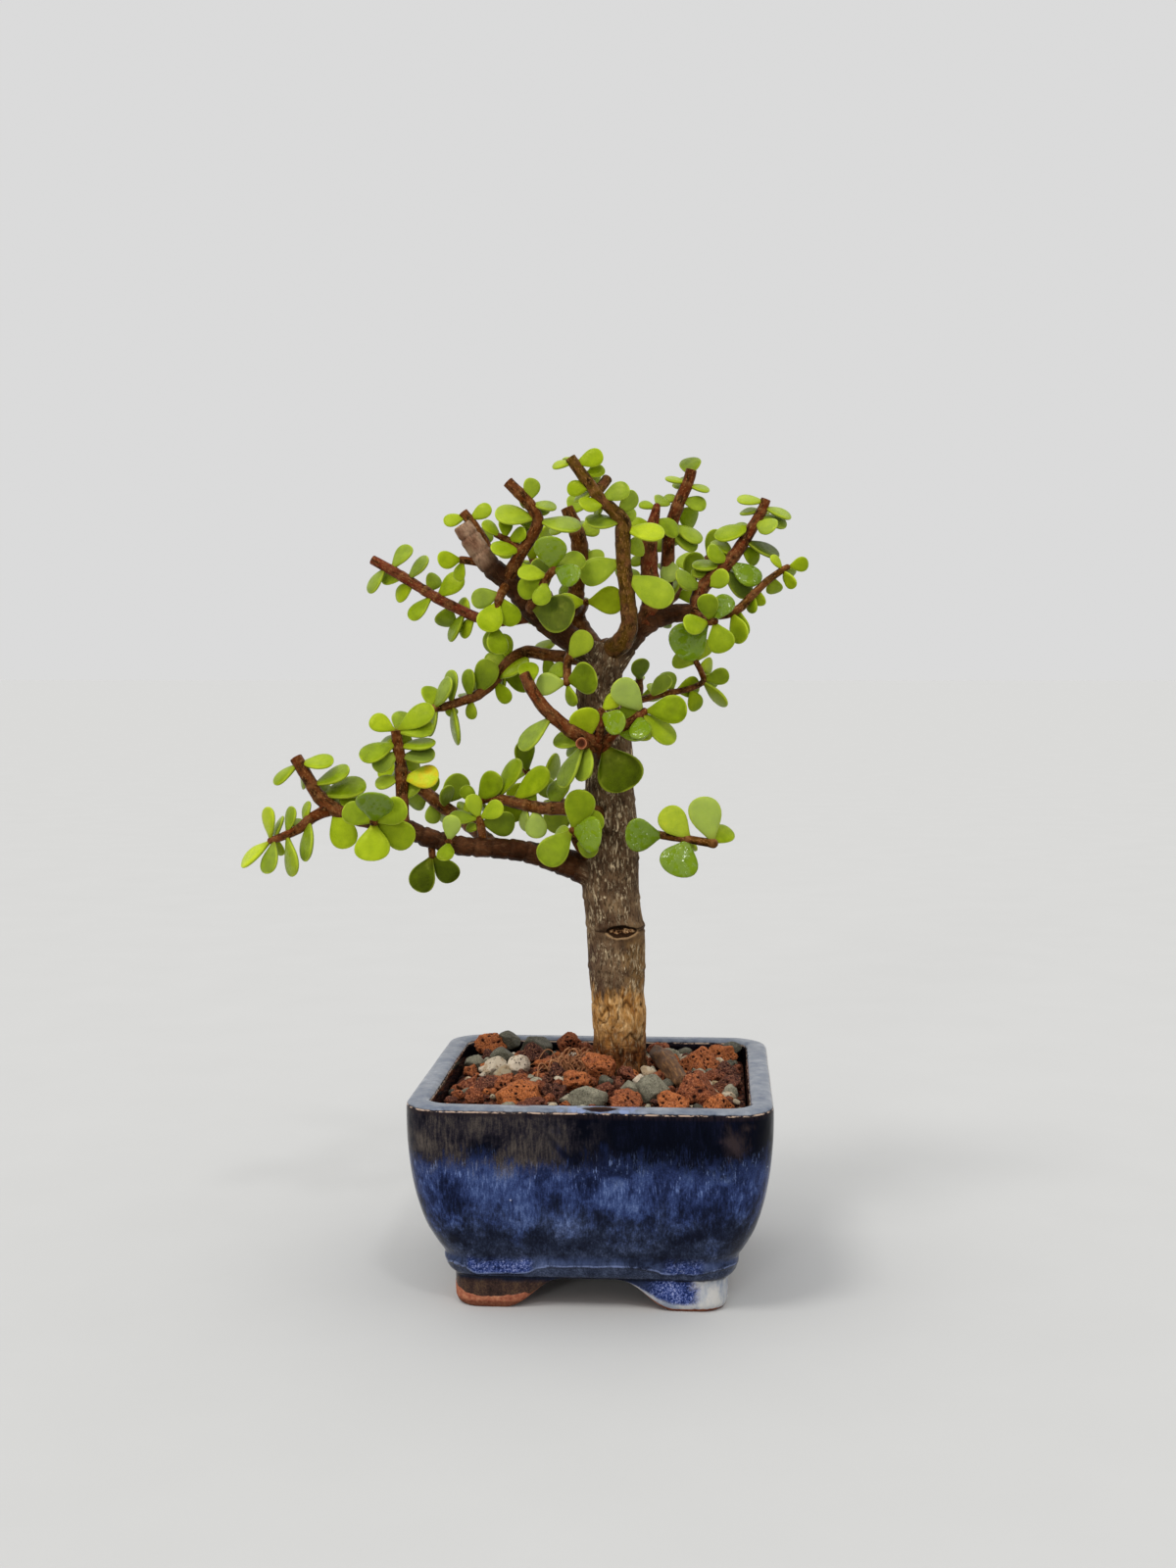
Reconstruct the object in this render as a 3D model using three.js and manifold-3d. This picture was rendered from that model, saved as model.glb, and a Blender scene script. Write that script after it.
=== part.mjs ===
// A dwarf jade bonsai (Portulacaria afra) in a small square glazed pot.
// Millimetres, +Z up. The pot stands round the Z axis with its front towards -Y, and the finished
// group is shifted so that its origin is the middle of the bottom of its bounding box.

import * as THREE from "three";
import Module from "manifold-3d";
import { mergeVertices } from "three/addons/utils/BufferGeometryUtils.js";

const wasm = await Module();
wasm.setup();

const GAP = 0.3; // between pieces that touch
const FRONT = new THREE.Vector3(0, -1, 0);
const UP = new THREE.Vector3(0, 0, 1);

// ---------------------------------------------------------------- driving dimensions

const POT = {
  // [z, half width, corner radius] of the outside, foot to rim
  outside: [
    [0, 36.2, 6.5], [2.1, 37.7, 7.5], [8.9, 38, 8], [9.9, 39.6, 9], [12.6, 40.6, 9.6], [15.4, 41.2, 10],
    [19.8, 43.6, 10.2], [23.4, 45.3, 10.4], [28.4, 46.9, 10.6], [35, 48.4, 10.8], [43.2, 49.5, 11],
    [51.4, 50, 11], [57.2, 50, 11], [58.6, 48.4, 10],
  ],
  // the same for the cavity, floor to mouth
  inside: [
    [15, 33.8, 4], [20, 37.4, 5], [29, 40.4, 5.5], [43.2, 42.7, 6], [51.4, 43.2, 6], [57.4, 43.2, 6],
    [58.7, 44.8, 7.5],
  ],
  recess: { half: 29, corner: 4, top: 9.6 },
  arch: { flat: 7, foot: 23, top: 8.6, bend: 6.5, ease: 1 },
  drainRadius: 6,
};

const MESH_PLATE = { half: 13, thickness: 1, holes: 3, hole: 5.6, pitch: 8 };

const SOIL = {
  // [z, half width] of the surface, wall to middle
  surface: [[54.2, 42.9], [55.4, 34], [56.8, 22], [58, 12]],
  bottom: 15,
  edge: 42.2,
};

// the pebbles of the top dressing: how far corners are pushed in and out, how flat a pebble lies,
// and how far it is lifted out of the bed
const PEBBLE = { pushIn: 0.82, pushOut: 1.16, squeeze: 0.85, flat: 0.72, lift: 0.12, seed: 7 };

// its larger stones, heaped towards the back and the trunk: [x, y, radius, how far it is raised]
const STONES = [
  [-39, 38, 3.5, 2], [-36, 37, 4.8, 1.6], [-30.5, 39, 3.2, 3.6], [-22.5, 37.5, 4.9, 0.7], [-20, 19, 4.9, 0],
  [-12, 38, 4.2, 2], [-6, 36, 3.5, 0.5], [-30, 21, 4, 0], [-32, 9.5, 3.6, 0], [-24, 7, 3.8, 0],
  [-2, -5, 5.2, 1.5], [-5.5, -15, 4, 0], [17.5, 35.5, 3.8, 0], [28.5, 17, 5.8, 0], [36.5, 32.5, 4.4, 0],
  [38.5, -4.5, 3.8, 0], [29, -24, 6.9, 0], [17, -22, 4.4, 0], [3.5, -24, 3.8, 0], [9.5, -31.5, 4.5, 0],
  [23, -32, 4.3, 0], [35, -31, 4.1, 0], [-1, -28.5, 4.6, 0], [-10.5, -24.5, 3.4, 0], [-19.5, -27.5, 6.3, 0],
  [-24.5, -16, 3.5, 0], [-31, -12.5, 3.3, 0],
];

// a chip of bark that lies among them: [x, y, z, radius]
const BARK_CHIP = [[16.5, 17.5, 59.5, 2.4], [20.5, 2, 59.4, 2.9], [24.5, -14, 58, 2.2]];

const WOOD_SIDES = 10;
const STEM_SIDES = 6;

// woody axes: [x, y, z, radius] along each
const WOOD = [
  // trunk
  [
    [6, 8, 30, 7.6], [6, 8, 47, 9], [5.9, 8, 54, 8.8], [5.9, 8, 60, 7.9], [5.7, 8, 68, 7.7],
    [5.6, 8, 74, 8.1], [5.2, 8, 79, 7.8], [4.9, 8, 86, 8.3], [4.6, 8, 96, 8.6], [3.8, 8, 104, 8.3],
    [3.1, 8, 111, 8.4], [3, 8, 119, 8.5], [3, 8, 129, 8], [2.7, 8, 139.5, 7.2], [2.6, 8, 150, 7],
    [1.3, 8, 160, 6.7], [-0.6, 8, 167, 6.7], [0.5, 8, 175, 6.2], [2, 7, 180, 5.5], [2.4, 7, 182.5, 4.6],
  ],
  // low limb to the left
  [
    [3, 8, 113.5, 5.6], [-8.4, 5, 118, 4.2], [-20, 1, 121.7, 3.2], [-29.6, -3, 123.3, 3],
    [-39, -6, 124.1, 2.9], [-48.6, -9, 126.8, 2.8], [-56, -11, 130.3, 2.6], [-63.5, -12, 131.4, 2.4],
  ],
  // left limb, ending in a thick cut stub
  [
    [0.5, 8, 176, 4.6], [-6.4, 5, 182, 4], [-13.3, 3, 187, 3.6], [-19.2, 2, 192, 3.4],
    [-23.1, 1, 197, 3.4], [-27, 0, 201, 3.3], [-30.9, -1, 204.2, 3.1], [-34.7, -2, 209.4, 3.1],
    [-39.1, -3, 216.3, 2.8],
  ],
  // right limb
  [
    [3.5, 8, 177, 4.4], [7.6, 8, 183, 4], [12.7, 8, 187.8, 3.4], [19.8, 9, 190.8, 2.9],
    [26.9, 10, 191.3, 2.6], [31, 10, 191.6, 2.4],
  ],
];

// Leafy stems. Each spray is a list of stems that hold together, each with its route as
// [x, y, z, radius] and its leaves as [place, angle, towards, length, twist, width].
// place is a station of the route, angle turns in the plane of the front from right through up,
// towards leans the blade to the front, twist turns its broad face away from the front, all in
// degrees, and width is the blade's share of its length (WIDTH where it is left out).
// shaded gives leaves on the far side as [first place, step, length]; paired gives crossed pairs
// along a whole stem as [first place, step, length, first roll].
const WIDTH = 0.68;
const SPRAYS = {
  low_left_tip: [
    {
      route: [
        [-62, -12, 131.2, 2.2], [-70.5, -12, 133, 2.2], [-75.4, -12, 135.4, 2.1],
        [-79.6, -11, 138.8, 2], [-82.5, -11, 143.7, 1.9], [-86.2, -10, 149.5, 1.9],
      ],
      leaves: [
        [4.75, 6, 10, 10.5, -58], [4.75, 214, 5, 9.5, 65], [3.6, 27, 0, 12, -62],
        [2.9, 20, -15, 14, -48], [1.9, -66, 20, 12.5, 15], [1.3, 75, -30, 9, 20],
      ],
      shaded: [1.2, 1, 10],
    },
    {
      route: [
        [-76.4, -12, 135, 1.7], [-81.3, -12, 132.5, 1.6], [-85.2, -12, 129.3, 1.4],
        [-90.3, -11, 126.9, 1.2], [-94, -10, 125.6, 1],
      ],
      leaves: [
        [1.6, 85, -10, 7, -50], [1.2, -92, 25, 12.5, 48], [2.7, 80, 0, 8.5, -50], [2.7, -78, 5, 12.5, 55],
        [3.95, 97, 5, 10, -52], [3.6, 88, -25, 8, -55], [3.6, -101, 25, 10.5, 45], [4, 217, 0, 11.5, 58],
      ],
      shaded: [2.2, 1.2, 8],
    },
  ],
  low_left_front: [
    {
      route: [[-60.5, -11.5, 130.9, 1.7], [-62, -17, 131.5, 1.4], [-61.8, -21, 132.3, 1.1]],
      leaves: [
        [1.5, -90, 25, 11.5, 0, 0.88], [1.2, -25, 20, 12.5, 8], [1.7, 27, 20, 11.5, -12],
        [1.2, 155, 5, 10, 20], [2, 78, 45, 12, 0, 0.9],
      ],
    },
  ],
  low_left_riser: [
    {
      route: [
        [-55.5, -10.8, 130.1, 2.1], [-55.9, -8, 137.6, 1.9], [-56.3, -7, 145.4, 1.9],
        [-57.1, -7, 152.3, 1.7], [-57.8, -7, 157.2, 1.5],
      ],
      leaves: [
        [0.9, 60, -15, 8, -25], [1.75, 8, 0, 11.5, -40], [1.8, 193, 10, 8, 45], [2.1, 192, -25, 8.5, 50],
        [2.85, 218, 25, 9, 15], [2.6, 6, 5, 10.5, -50], [3.05, 12, -5, 11, -60], [3.6, -12, -30, 7, -40],
        [3.3, 201, 10, 12, 50], [3.8, 205, -10, 12.5, 60], [4, 153, 0, 8.5, 20], [4, 33, 0, 13, -22, 0.55],
        [3.9, 12, 10, 11, -48], [4, 75, -35, 9, 0],
      ],
      shaded: [1.3, 0.9, 9.5],
    },
  ],
  low_left_spur_front: [
    {
      route: [[-41.5, -6.8, 124.8, 1.2], [-41.6, -10, 125.2, 1.1], [-41.8, -13, 126, 1]],
      leaves: [[1.9, 78, 10, 8, 5], [1.9, -95, 55, 7.5, 0]],
    },
  ],
  low_left_spur_under: [
    {
      route: [[-47.5, -8.6, 126.4, 1.2], [-47.4, -8.2, 123.5, 1.1], [-47.3, -8, 121.4, 1]],
      leaves: [[1.9, 246, 5, 11.5, 12], [1.9, -38, -15, 10.5, 5]],
    },
  ],
  low_inner: [
    {
      route: [[-33, -3.8, 123.6, 1.4], [-33.6, -3.4, 128, 1.3], [-34.3, -3, 131.8, 1.1]],
      leaves: [
        [2, 32, 15, 8.5, -30], [2, 172, 15, 9, 55], [1.7, -5, -10, 11, 10], [1.9, 118, 0, 8, 30],
        [1.3, 200, 10, 6, 30],
      ],
    },
  ],
  back_low: [
    {
      route: [
        [-29.6, -2.5, 123.2, 2.2], [-39.2, 9, 129.2, 2.2], [-48.1, 14, 134.4, 2.1],
        [-54.8, 17, 139.4, 2], [-59.1, 18, 142.9, 1.9],
      ],
      leaves: [
        [2, 50, 0, 11.5, 15], [1.8, 78, 12, 9, 60], [2.3, -95, 0, 7.5, 20], [3.9, 100, -40, 9, 0],
        [4, 165, -10, 9, 30],
      ],
      shaded: [1.2, 0.7, 10.5],
    },
  ],
  second_left: [
    {
      route: [
        [2.5, 6, 132, 2.6], [-3, -1, 134, 2.3], [-10, -1.5, 134.8, 2.1], [-17.1, 1, 134.7, 1.9],
        [-25.5, 4, 136.2, 1.7], [-31.7, 6, 137.1, 1.4], [-36, 6.5, 136, 1.1],
      ],
      leaves: [
        [4, 44, 12, 15, -28, 0.5], [4.7, 64, 0, 13.5, -45, 0.6], [6, 52, 5, 11, -20], [6, 140, 0, 6.5, 20],
        [5.8, 178, 8, 8, 45], [4.6, -45, -10, 9, 15], [3.5, -97, -5, 8, 50], [3.15, -88, 25, 9.5, 5],
      ],
      shaded: [2.4, 0.7, 10],
    },
  ],
  trunk_front_low: [
    {
      route: [[-2, 7, 119, 1.8], [-5.6, -2.5, 124.5, 1.5], [-7, -7, 129, 1.2]],
      leaves: [
        [2, -6, 40, 11, 0, 0.95], [1.9, 74, 15, 13, 12], [1.9, 60, 0, 13, -18], [2, 227, 15, 13, 8],
        [1.5, -40, 0, 8, 0], [1.8, 190, -15, 9, 35],
      ],
    },
  ],
  right_low: [
    {
      route: [
        [3, 8, 127.5, 1.6], [11.5, 2, 128.3, 1.3], [18.5, -3, 127.3, 1.2], [26, -5, 126.4, 1.2],
        [33.5, -6, 125.3, 1.3],
      ],
      leaves: [
        [2.05, 180, 20, 11.5, 0, 0.85], [3.1, 132, 5, 12, 8], [3.95, 105, -5, 14, 8],
        [3, -112, 30, 12, 0, 0.95],
      ],
      shaded: [2.3, 0.8, 9],
    },
  ],
  front_centre: [
    {
      route: [
        [2, 4, 150, 2.6], [-0.7, -4, 153.7, 2.3], [-5.4, -8, 156.3, 2.2], [-10.2, -9, 159.8, 2],
        [-14.6, -9, 163.7, 1.9], [-18.2, -8, 168.6, 1.8], [-20.8, -7, 173.5, 1.7],
      ],
      leaves: [[3.5, 221, 5, 13.5, 55, 0.6], [1.4, 100, 30, 10.5, 0, 0.85], [5.3, 100, -35, 9, 10]],
    },
    {
      route: [[1, -2, 152.5, 1.9], [5.4, -7, 157.2, 1.5], [10.4, -8, 160.5, 1.3], [13.6, -8, 163, 1.2]],
      leaves: [
        [0.15, -61, 12, 15, 0, 0.9], [3, 6, 15, 12.5, -12, 0.66], [2.9, 130, 10, 12, 8],
        [2.8, -42, 5, 12.5, -42], [2.5, -82, 25, 9.5, 0], [1, -4, 20, 9.5, -45], [2.7, 182, -25, 8, 20],
      ],
    },
    {
      route: [[0, -5, 154.5, 1.5], [1, -7, 159, 1.4], [1.3, -7.5, 163, 1.2]],
      leaves: [[1.8, -28, 20, 10.5, 0], [2, 42, -5, 7, -10]],
    },
    {
      route: [[-1, -3, 153, 1.9], [-3.2, -7, 153.8, 1.8], [-4.1, -11.5, 154, 1.8]],
      leaves: [
        [1.2, 168, 5, 10, 30], [1.2, 198, -20, 9, 40], [1.3, 238, 0, 14.5, 62, 0.6],
        [0.9, -95, 15, 11.5, 40], [0.5, -100, -5, 10, 55],
      ],
    },
  ],
  fork_front: [
    {
      route: [[-6.4, 5, 182, 1.6], [-8.7, 0, 177.6, 1.4], [-8.8, -3, 173.5, 1.2], [-8.7, -5, 170.8, 1]],
      leaves: [
        [1, 50, 10, 10, 12], [2.7, 10, 35, 10.5, 0, 0.9], [2.9, 185, 10, 10, 15], [2.2, 152, -20, 9, 20],
        [3, -75, -5, 7, 40],
      ],
    },
  ],
  mid_left: [
    {
      route: [
        [0.5, 9, 177, 2.2], [-7, 12, 178, 2], [-15.4, 15, 179, 1.9], [-22.8, 17, 180, 1.9],
        [-28, 17, 177, 1.8], [-32, 15.5, 171.5, 1.7], [-36.9, 14, 167.3, 1.6], [-41, 13, 165.6, 1.4],
        [-46.8, 12, 163.8, 1.3], [-50.5, 12, 163.2, 1.1],
      ],
      leaves: [
        [6.6, 92, 5, 9, -35], [6, 66, 10, 11.5, -15], [6.5, -90, -5, 6.5, 35], [7.55, -88, 0, 12.5, 62],
        [7.6, 93, 0, 10.5, -50], [8.8, 58, 0, 11.5, -50], [8.5, 250, 0, 9, 55], [8.7, 214, 15, 9, 45],
        [8, -40, 0, 6, 30], [5, -58, 10, 8, 25], [4.6, -18, -15, 11, 10], [4.9, 32, 15, 12, -55],
        [4.2, 250, 0, 9, 55], [3.9, 110, -10, 9, 40], [9, 100, -30, 8.5, 20], [2.2, -75, 10, 8, 30],
      ],
      shaded: [2.3, 0.9, 10],
    },
  ],
  left_reach: [
    {
      route: [
        [-17.5, 2.5, 190.5, 1.8], [-28.2, 10, 189.3, 1.7], [-35.8, 14, 189.9, 1.6],
        [-42.3, 16, 192.5, 1.6], [-49.6, 17, 196.2, 1.6], [-58.1, 18, 201.4, 1.6],
        [-63.4, 19, 204.5, 1.6], [-69.3, 20, 207.7, 1.5],
      ],
      leaves: [
        [6.05, 53, 0, 9.5, -45], [6.3, 229, 0, 9.5, 50], [5.05, 50, 10, 9.5, -45], [4.8, 213, -25, 8.5, 25],
        [4, 41, 0, 10.5, -25], [4.15, 226, 10, 10, 50], [2.8, 238, 0, 10, 55], [2.3, 226, -20, 8, 35],
      ],
      shaded: [1.6, 0.9, 9],
    },
  ],
  left_stub_side: [
    {
      route: [[-31.5, -1.2, 205, 1.3], [-36, -1.8, 205.8, 1.2], [-39.5, -2, 206.3, 1.1]],
      leaves: [[1.9, 182, 40, 8, 8], [1.9, 65, -20, 5.5, 0], [1.8, 250, -10, 6.5, 30]],
    },
  ],
  left_stub_back: [
    {
      route: [[-31, -1, 204.5, 1.8], [-33, 2.5, 211, 1.6], [-36.2, 4, 216, 1.5], [-39.6, 4, 220.3, 1.5]],
      leaves: [
        [2.7, 192, 15, 7, 30], [2.5, 32, 5, 7.5, -20], [2.1, -38, 10, 7, -55], [1.6, 80, -60, 9, 0],
      ],
    },
  ],
  upper_left: [
    {
      route: [
        [-26.5, 0, 200.5, 2.3], [-24.3, -2.5, 204, 2], [-22.2, -3, 207.8, 1.8], [-19.2, -3, 212.3, 1.8],
        [-17.2, -3, 216.8, 1.8], [-18.7, -3, 220.7, 1.7], [-22.2, -3, 224.7, 1.7], [-25.7, -3, 228.2, 1.7],
      ],
      leaves: [
        [4.2, 170, 8, 12.5, 45], [4.1, -7, 10, 13, -52], [5.4, 77, -10, 7.5, 15], [5.3, -3, 0, 8, -58],
        [4.4, 55, -30, 6, 0], [2.2, 172, 10, 9.5, 45],
      ],
      shaded: [2.6, 0.9, 9.5],
    },
    {
      route: [[-21.5, -3, 208.5, 1.2], [-25.5, -2, 211.5, 1.1], [-29.5, -1, 213.5, 0.9]],
      leaves: [
        [1.6, 148, 5, 7, 50], [2, 195, 0, 7.5, 45], [1.1, 35, 15, 7.5, -30], [1.3, 100, -20, 7, 20],
        [2, 120, -15, 7, 40],
      ],
    },
  ],
  left_front: [
    {
      route: [
        [-26, 0.3, 200, 1.5], [-27.5, -4.5, 196.5, 1.3], [-28.8, -7, 191.5, 1.1], [-29.3, -7.5, 187.5, 1],
      ],
      leaves: [
        [1, 193, 15, 9, 12], [1.4, -112, 20, 11, 8], [1.2, -62, 10, 9.5, -20], [2.9, -78, 20, 9.5, -25],
        [2.9, -100, 0, 10, 15],
      ],
    },
  ],
  centre_rosette: [
    {
      route: [[-19.2, 2, 192, 1.6], [-19.2, -4, 193, 1.4], [-16, -8, 198, 1.3], [-11.8, -11, 203.2, 1.1]],
      leaves: [
        [2.9, 93, 30, 10.5, 0, 0.9], [2.6, 170, 0, 9, 35], [2.5, 204, 10, 10, 12], [3, -25, 40, 10, 0],
        [2.4, -100, 25, 8, 0], [2.9, 25, -10, 10, -25], [0.95, -17, 15, 13.5, 0, 0.85],
      ],
    },
  ],
  front_upright: [
    {
      route: [
        [2.1, 7, 180, 3.4], [6.5, 0, 182.5, 3.2], [9, -4, 187.5, 2.6], [8.6, -6, 195, 2.3],
        [7.5, -6, 205.6, 2.2], [7.3, -6, 212.6, 2.3], [7.3, -6, 216.5, 2.3], [4.4, -7, 219.8, 1.9],
        [1, -8, 222.8, 1.8], [-1.4, -8, 226.2, 1.7], [-4.4, -8, 230, 1.7], [-7.4, -8, 234.3, 1.6],
      ],
      leaves: [
        [5.4, -6, 10, 12, -38, 0.62], [6, 177, 5, 11, 50], [3.6, -28, 14, 16, -20, 0.58],
        [4, 200, 10, 13.5, 18, 0.6], [8, 22, 10, 9, -28], [6.6, 48, 5, 8.5, 40],
        [8.6, 190, -30, 7.5, 45], [7.6, 186, 15, 8.5, 35],
        [9, 205, 0, 8.5, 18], [10.6, 18, 5, 8.5, -25], [9.7, 32, -15, 6.5, -20], [10.7, 183, -10, 6.5, 60],
      ],
      shaded: [3.3, 1.1, 10],
    },
    {
      route: [[-0.4, -8, 224.6, 1.5], [1.5, -6, 226.8, 1.5], [2.8, -4.5, 228.8, 1.5]],
      leaves: [],
    },
  ],
  back_middle: [
    {
      route: [
        [-0.5, 8.5, 180, 2.8], [-6.6, 14, 188.4, 2.6], [-7.7, 15, 196.6, 2.5], [-6.6, 15, 205.9, 2.6],
        [-6.6, 14, 212, 2.5], [-8.1, 14, 217.1, 2.2], [-10.2, 14, 222.2, 2],
      ],
      leaves: [[3.2, 12, 0, 7.5, -25], [5.2, 195, -15, 8, 40], [4.6, 20, -30, 8, 0]],
      shaded: [1.4, 0.7, 11],
    },
    {
      route: [[-7, 14, 190.5, 1.4], [-5, 8, 192.5, 1.2], [-3.7, 2, 194.2, 1]],
      leaves: [[2, 3, 10, 11, 0, 0.75], [2, 180, 5, 9, 20]],
    },
  ],
  second_upright: [
    {
      route: [
        [12.9, 8, 187.8, 3], [14.7, 8, 193.3, 2.9], [14.4, 8, 200.4, 2.7], [14.2, 8, 206.5, 2.6],
        [14.2, 8, 212.6, 2.4], [15.7, 8, 218.7, 1.6], [16.4, 8, 222.2, 1],
      ],
      leaves: [[4.6, 168, 5, 7, 35], [5.8, 160, -10, 5.5, 45], [3, 182, -15, 6, 40]],
      shaded: [1.6, 1.1, 9],
    },
  ],
  right_upper: [
    {
      route: [
        [18.9, 9, 190.6, 2.2], [19.1, 13, 198.6, 2], [19.4, 15, 206.9, 2], [19.9, 16, 215.2, 2],
        [22.1, 17, 222.5, 1.9], [25.2, 18, 229.8, 1.8], [26.2, 18, 233.5, 1.7],
      ],
      leaves: [
        [5, 165, 0, 7, 62], [4.9, -13, 0, 7, -62], [4.3, 170, -20, 6, 50], [4.3, -13, 20, 8, -35],
        [3.3, -25, 0, 10.5, -50], [2.9, -22, 5, 9.5, -50], [4, 152, 5, 10, 45], [2.1, -80, 35, 9, 0],
      ],
      shaded: [1.5, 0.8, 10],
    },
  ],
  right_crown: [
    {
      route: [
        [27.9, 10, 191.3, 2.2], [28.9, 12, 197.5, 2.1], [33, 14, 202.2, 2.1], [37.1, 16, 205.9, 2],
        [41.2, 18, 211.7, 1.9], [44.4, 19, 217, 1.7], [47, 20, 221.7, 1.5], [48.2, 20, 224.9, 1.5],
      ],
      leaves: [
        [6.8, 172, 5, 8.5, 55], [6.3, -18, 0, 9, -60], [6, 180, -20, 7, 55], [5.5, 160, -14, 6.5, 45],
        [5.6, -12, -10, 9, -50], [5.2, -18, 35, 9, -20], [5, 192, 10, 12, 48], [4.9, 178, -15, 10, 50],
        [4.2, -21, 0, 11.5, -55], [3.9, -40, -25, 8, -30], [3.4, 140, 0, 9, 50], [3.1, 150, 10, 9, 45],
        [2.9, 167, 15, 10.5, 60], [3.1, -33, 20, 11.5, -30], [2.6, -42, 0, 11.5, -45],
        [1.4, 20, 30, 8.5, -15], [2.1, 158, 10, 8, 45], [1.2, 152, 15, 10.5, 40], [2, 135, 50, 9, 0],
      ],
      shaded: [1.5, 0.8, 10],
    },
  ],
  right_outer: [
    {
      route: [
        [28.5, 10, 191.4, 1.6], [35, 8, 190.7, 1.5], [40.1, 8, 192.3, 1.3], [44.2, 9, 196.4, 1.2],
        [48.3, 10, 200.3, 1.1], [52.4, 11, 203.4, 1], [54.4, 11, 204.6, 0.9],
      ],
      leaves: [
        [5.2, 125, 10, 5.5, 50], [5.2, -58, 10, 6.5, 50], [6, 12, -10, 6.5, 0], [5.8, -47, 5, 7.5, 12],
        [3.1, -100, -10, 6, 40], [2, -82, 0, 8.5, 35], [1.6, -72, -15, 11, 35],
      ],
      shaded: [2.4, 1, 8],
    },
  ],
  right_front: [
    {
      route: [[26.5, 9.8, 191.3, 1.4], [29.5, 4, 190, 1.2], [31.5, 0, 188.5, 1.1], [33.5, -2, 188.5, 1]],
      leaves: [
        [2, 222, 15, 13.5, 0, 0.85], [2.1, 190, 45, 9.5, 25], [2.8, -72, 10, 9.5, 5, 0.85],
        [2.3, 97, 30, 9, 0], [2.8, 62, 15, 9, -10],
      ],
    },
  ],
  right_back: [
    {
      route: [
        [2.5, 9.5, 162.5, 1.6], [11.2, 20, 165.7, 1.1], [19.4, 24, 167.7, 1], [25.6, 26, 169, 0.9],
        [29.8, 27, 171.1, 0.9], [29.3, 27, 174, 0.9], [27.7, 27, 177.1, 0.9],
      ],
      leaves: [
        [4.2, 12, 0, 8, 0, 0.65], [4, -47, 0, 10.5, 55], [6, 60, -10, 8, 10], [5.9, 170, -15, 8, 20],
        [1.3, 50, 0, 9, -40], [2.2, 110, -30, 8, 20],
      ],
      shaded: [1.5, 0.8, 9],
    },
  ],
  back_high: [
    {
      route: [
        [-13, 3, 187, 2], [-14, 15, 192, 1.8], [-18, 24, 199, 1.6], [-21, 31, 206, 1.4],
        [-24, 36, 212, 1.2],
      ],
      leaves: [],
      paired: [1.1, 0.72, 11, 20],
    },
  ],
  back_right: [
    {
      route: [
        [14, 8, 188.6, 2], [17, 20, 193, 1.8], [22, 29, 198, 1.6], [27, 36, 203, 1.4], [31, 41, 209, 1.2],
      ],
      leaves: [],
      paired: [1.1, 0.72, 11, 65],
    },
  ],
  back_centre: [
    {
      route: [
        [2, 9, 150, 1.9], [5, 21, 154, 1.7], [8, 30, 160, 1.5], [10, 37, 167, 1.3], [10, 41, 174, 1.1],
      ],
      leaves: [],
      paired: [1.2, 0.8, 11, 0],
    },
  ],
  back_low_left: [
    {
      route: [
        [2, 9, 129, 1.9], [-6, 20, 131.5, 1.7], [-14, 28, 135, 1.5], [-21, 34, 140, 1.3],
        [-27, 37, 146, 1.1],
      ],
      leaves: [],
      paired: [1.2, 0.78, 11.5, 40],
    },
  ],
};

// Blade: [share of length, share of half width, share of thickness] of its cross-sections.
const BLADE = [[0.3, 0.52, 0.85], [0.64, 1, 1], [0.91, 0.68, 0.7]];
const BLADE_THICKNESS = 1.9;
const BLADE_RISE = 0.6; // of the flat upper face over the blade's middle
const BLADE_ARCH = 0.06; // how far the tip falls back, as a share of the length
const ROOT_INSET = 0.08; // of a leaf's root from the ends of its stem, in stations

// Points of a blade that are kept clear: [share of length, share of half width].
const FEELERS = [
  [0.35, 0], [0.65, 0], [0.97, 0], [0.42, 0.6], [0.42, -0.6], [0.68, 0.9], [0.68, -0.9],
  [0.9, 0.6], [0.9, -0.6],
];
const CLEAR_OF_LEAVES = 2.8;
const CLEAR_WITHIN_SPRAY = 1.9;
const CLEAR_OF_WOOD = 1.6;
const CLEAR_OF_SISTER_STEM = 0.4;

// What a blade that is in the way tries in turn: [angle, towards, share of its length].
const DODGES = [
  [0, 0, 1], [0, 13, 1], [0, -13, 1], [10, 0, 1], [-10, 0, 1], [0, 26, 1], [0, -26, 1], [12, 16, 0.92],
  [-12, 16, 0.92], [12, -16, 0.92], [-12, -16, 0.92], [0, 38, 0.92], [0, -38, 0.92], [20, 0, 0.85],
  [-20, 0, 0.85], [0, 0, 0.75], [24, 24, 0.8], [-24, 24, 0.8], [24, -24, 0.8], [-24, -24, 0.8],
  [34, 0, 0.75], [-34, 0, 0.75],
];

const COLORS = {
  glaze: 0x24386e,
  gravel: 0x8a4630,
  mesh: 0x2b2b2b,
  bark: 0x5b4536,
  leaf: 0x6fa31a,
};

// ---------------------------------------------------------------- solids and meshes

function toSolid(geometry) {
  const bare = geometry.clone();
  bare.deleteAttribute("normal");
  bare.deleteAttribute("uv");
  const merged = mergeVertices(bare, 1e-3);
  return new wasm.Manifold(new wasm.Mesh({
    numProp: 3,
    vertProperties: new Float32Array(merged.attributes.position.array),
    triVerts: new Uint32Array(merged.index.array),
  }));
}

function toGeometry(solid) {
  const mesh = solid.getMesh();
  const geometry = new THREE.BufferGeometry();
  geometry.setAttribute("position", new THREE.BufferAttribute(new Float32Array(mesh.vertProperties), 3));
  geometry.setIndex(new THREE.BufferAttribute(new Uint32Array(mesh.triVerts), 1));
  return geometry;
}

function joined(solids) {
  return solids.reduce((whole, solid) => whole.add(solid));
}

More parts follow.
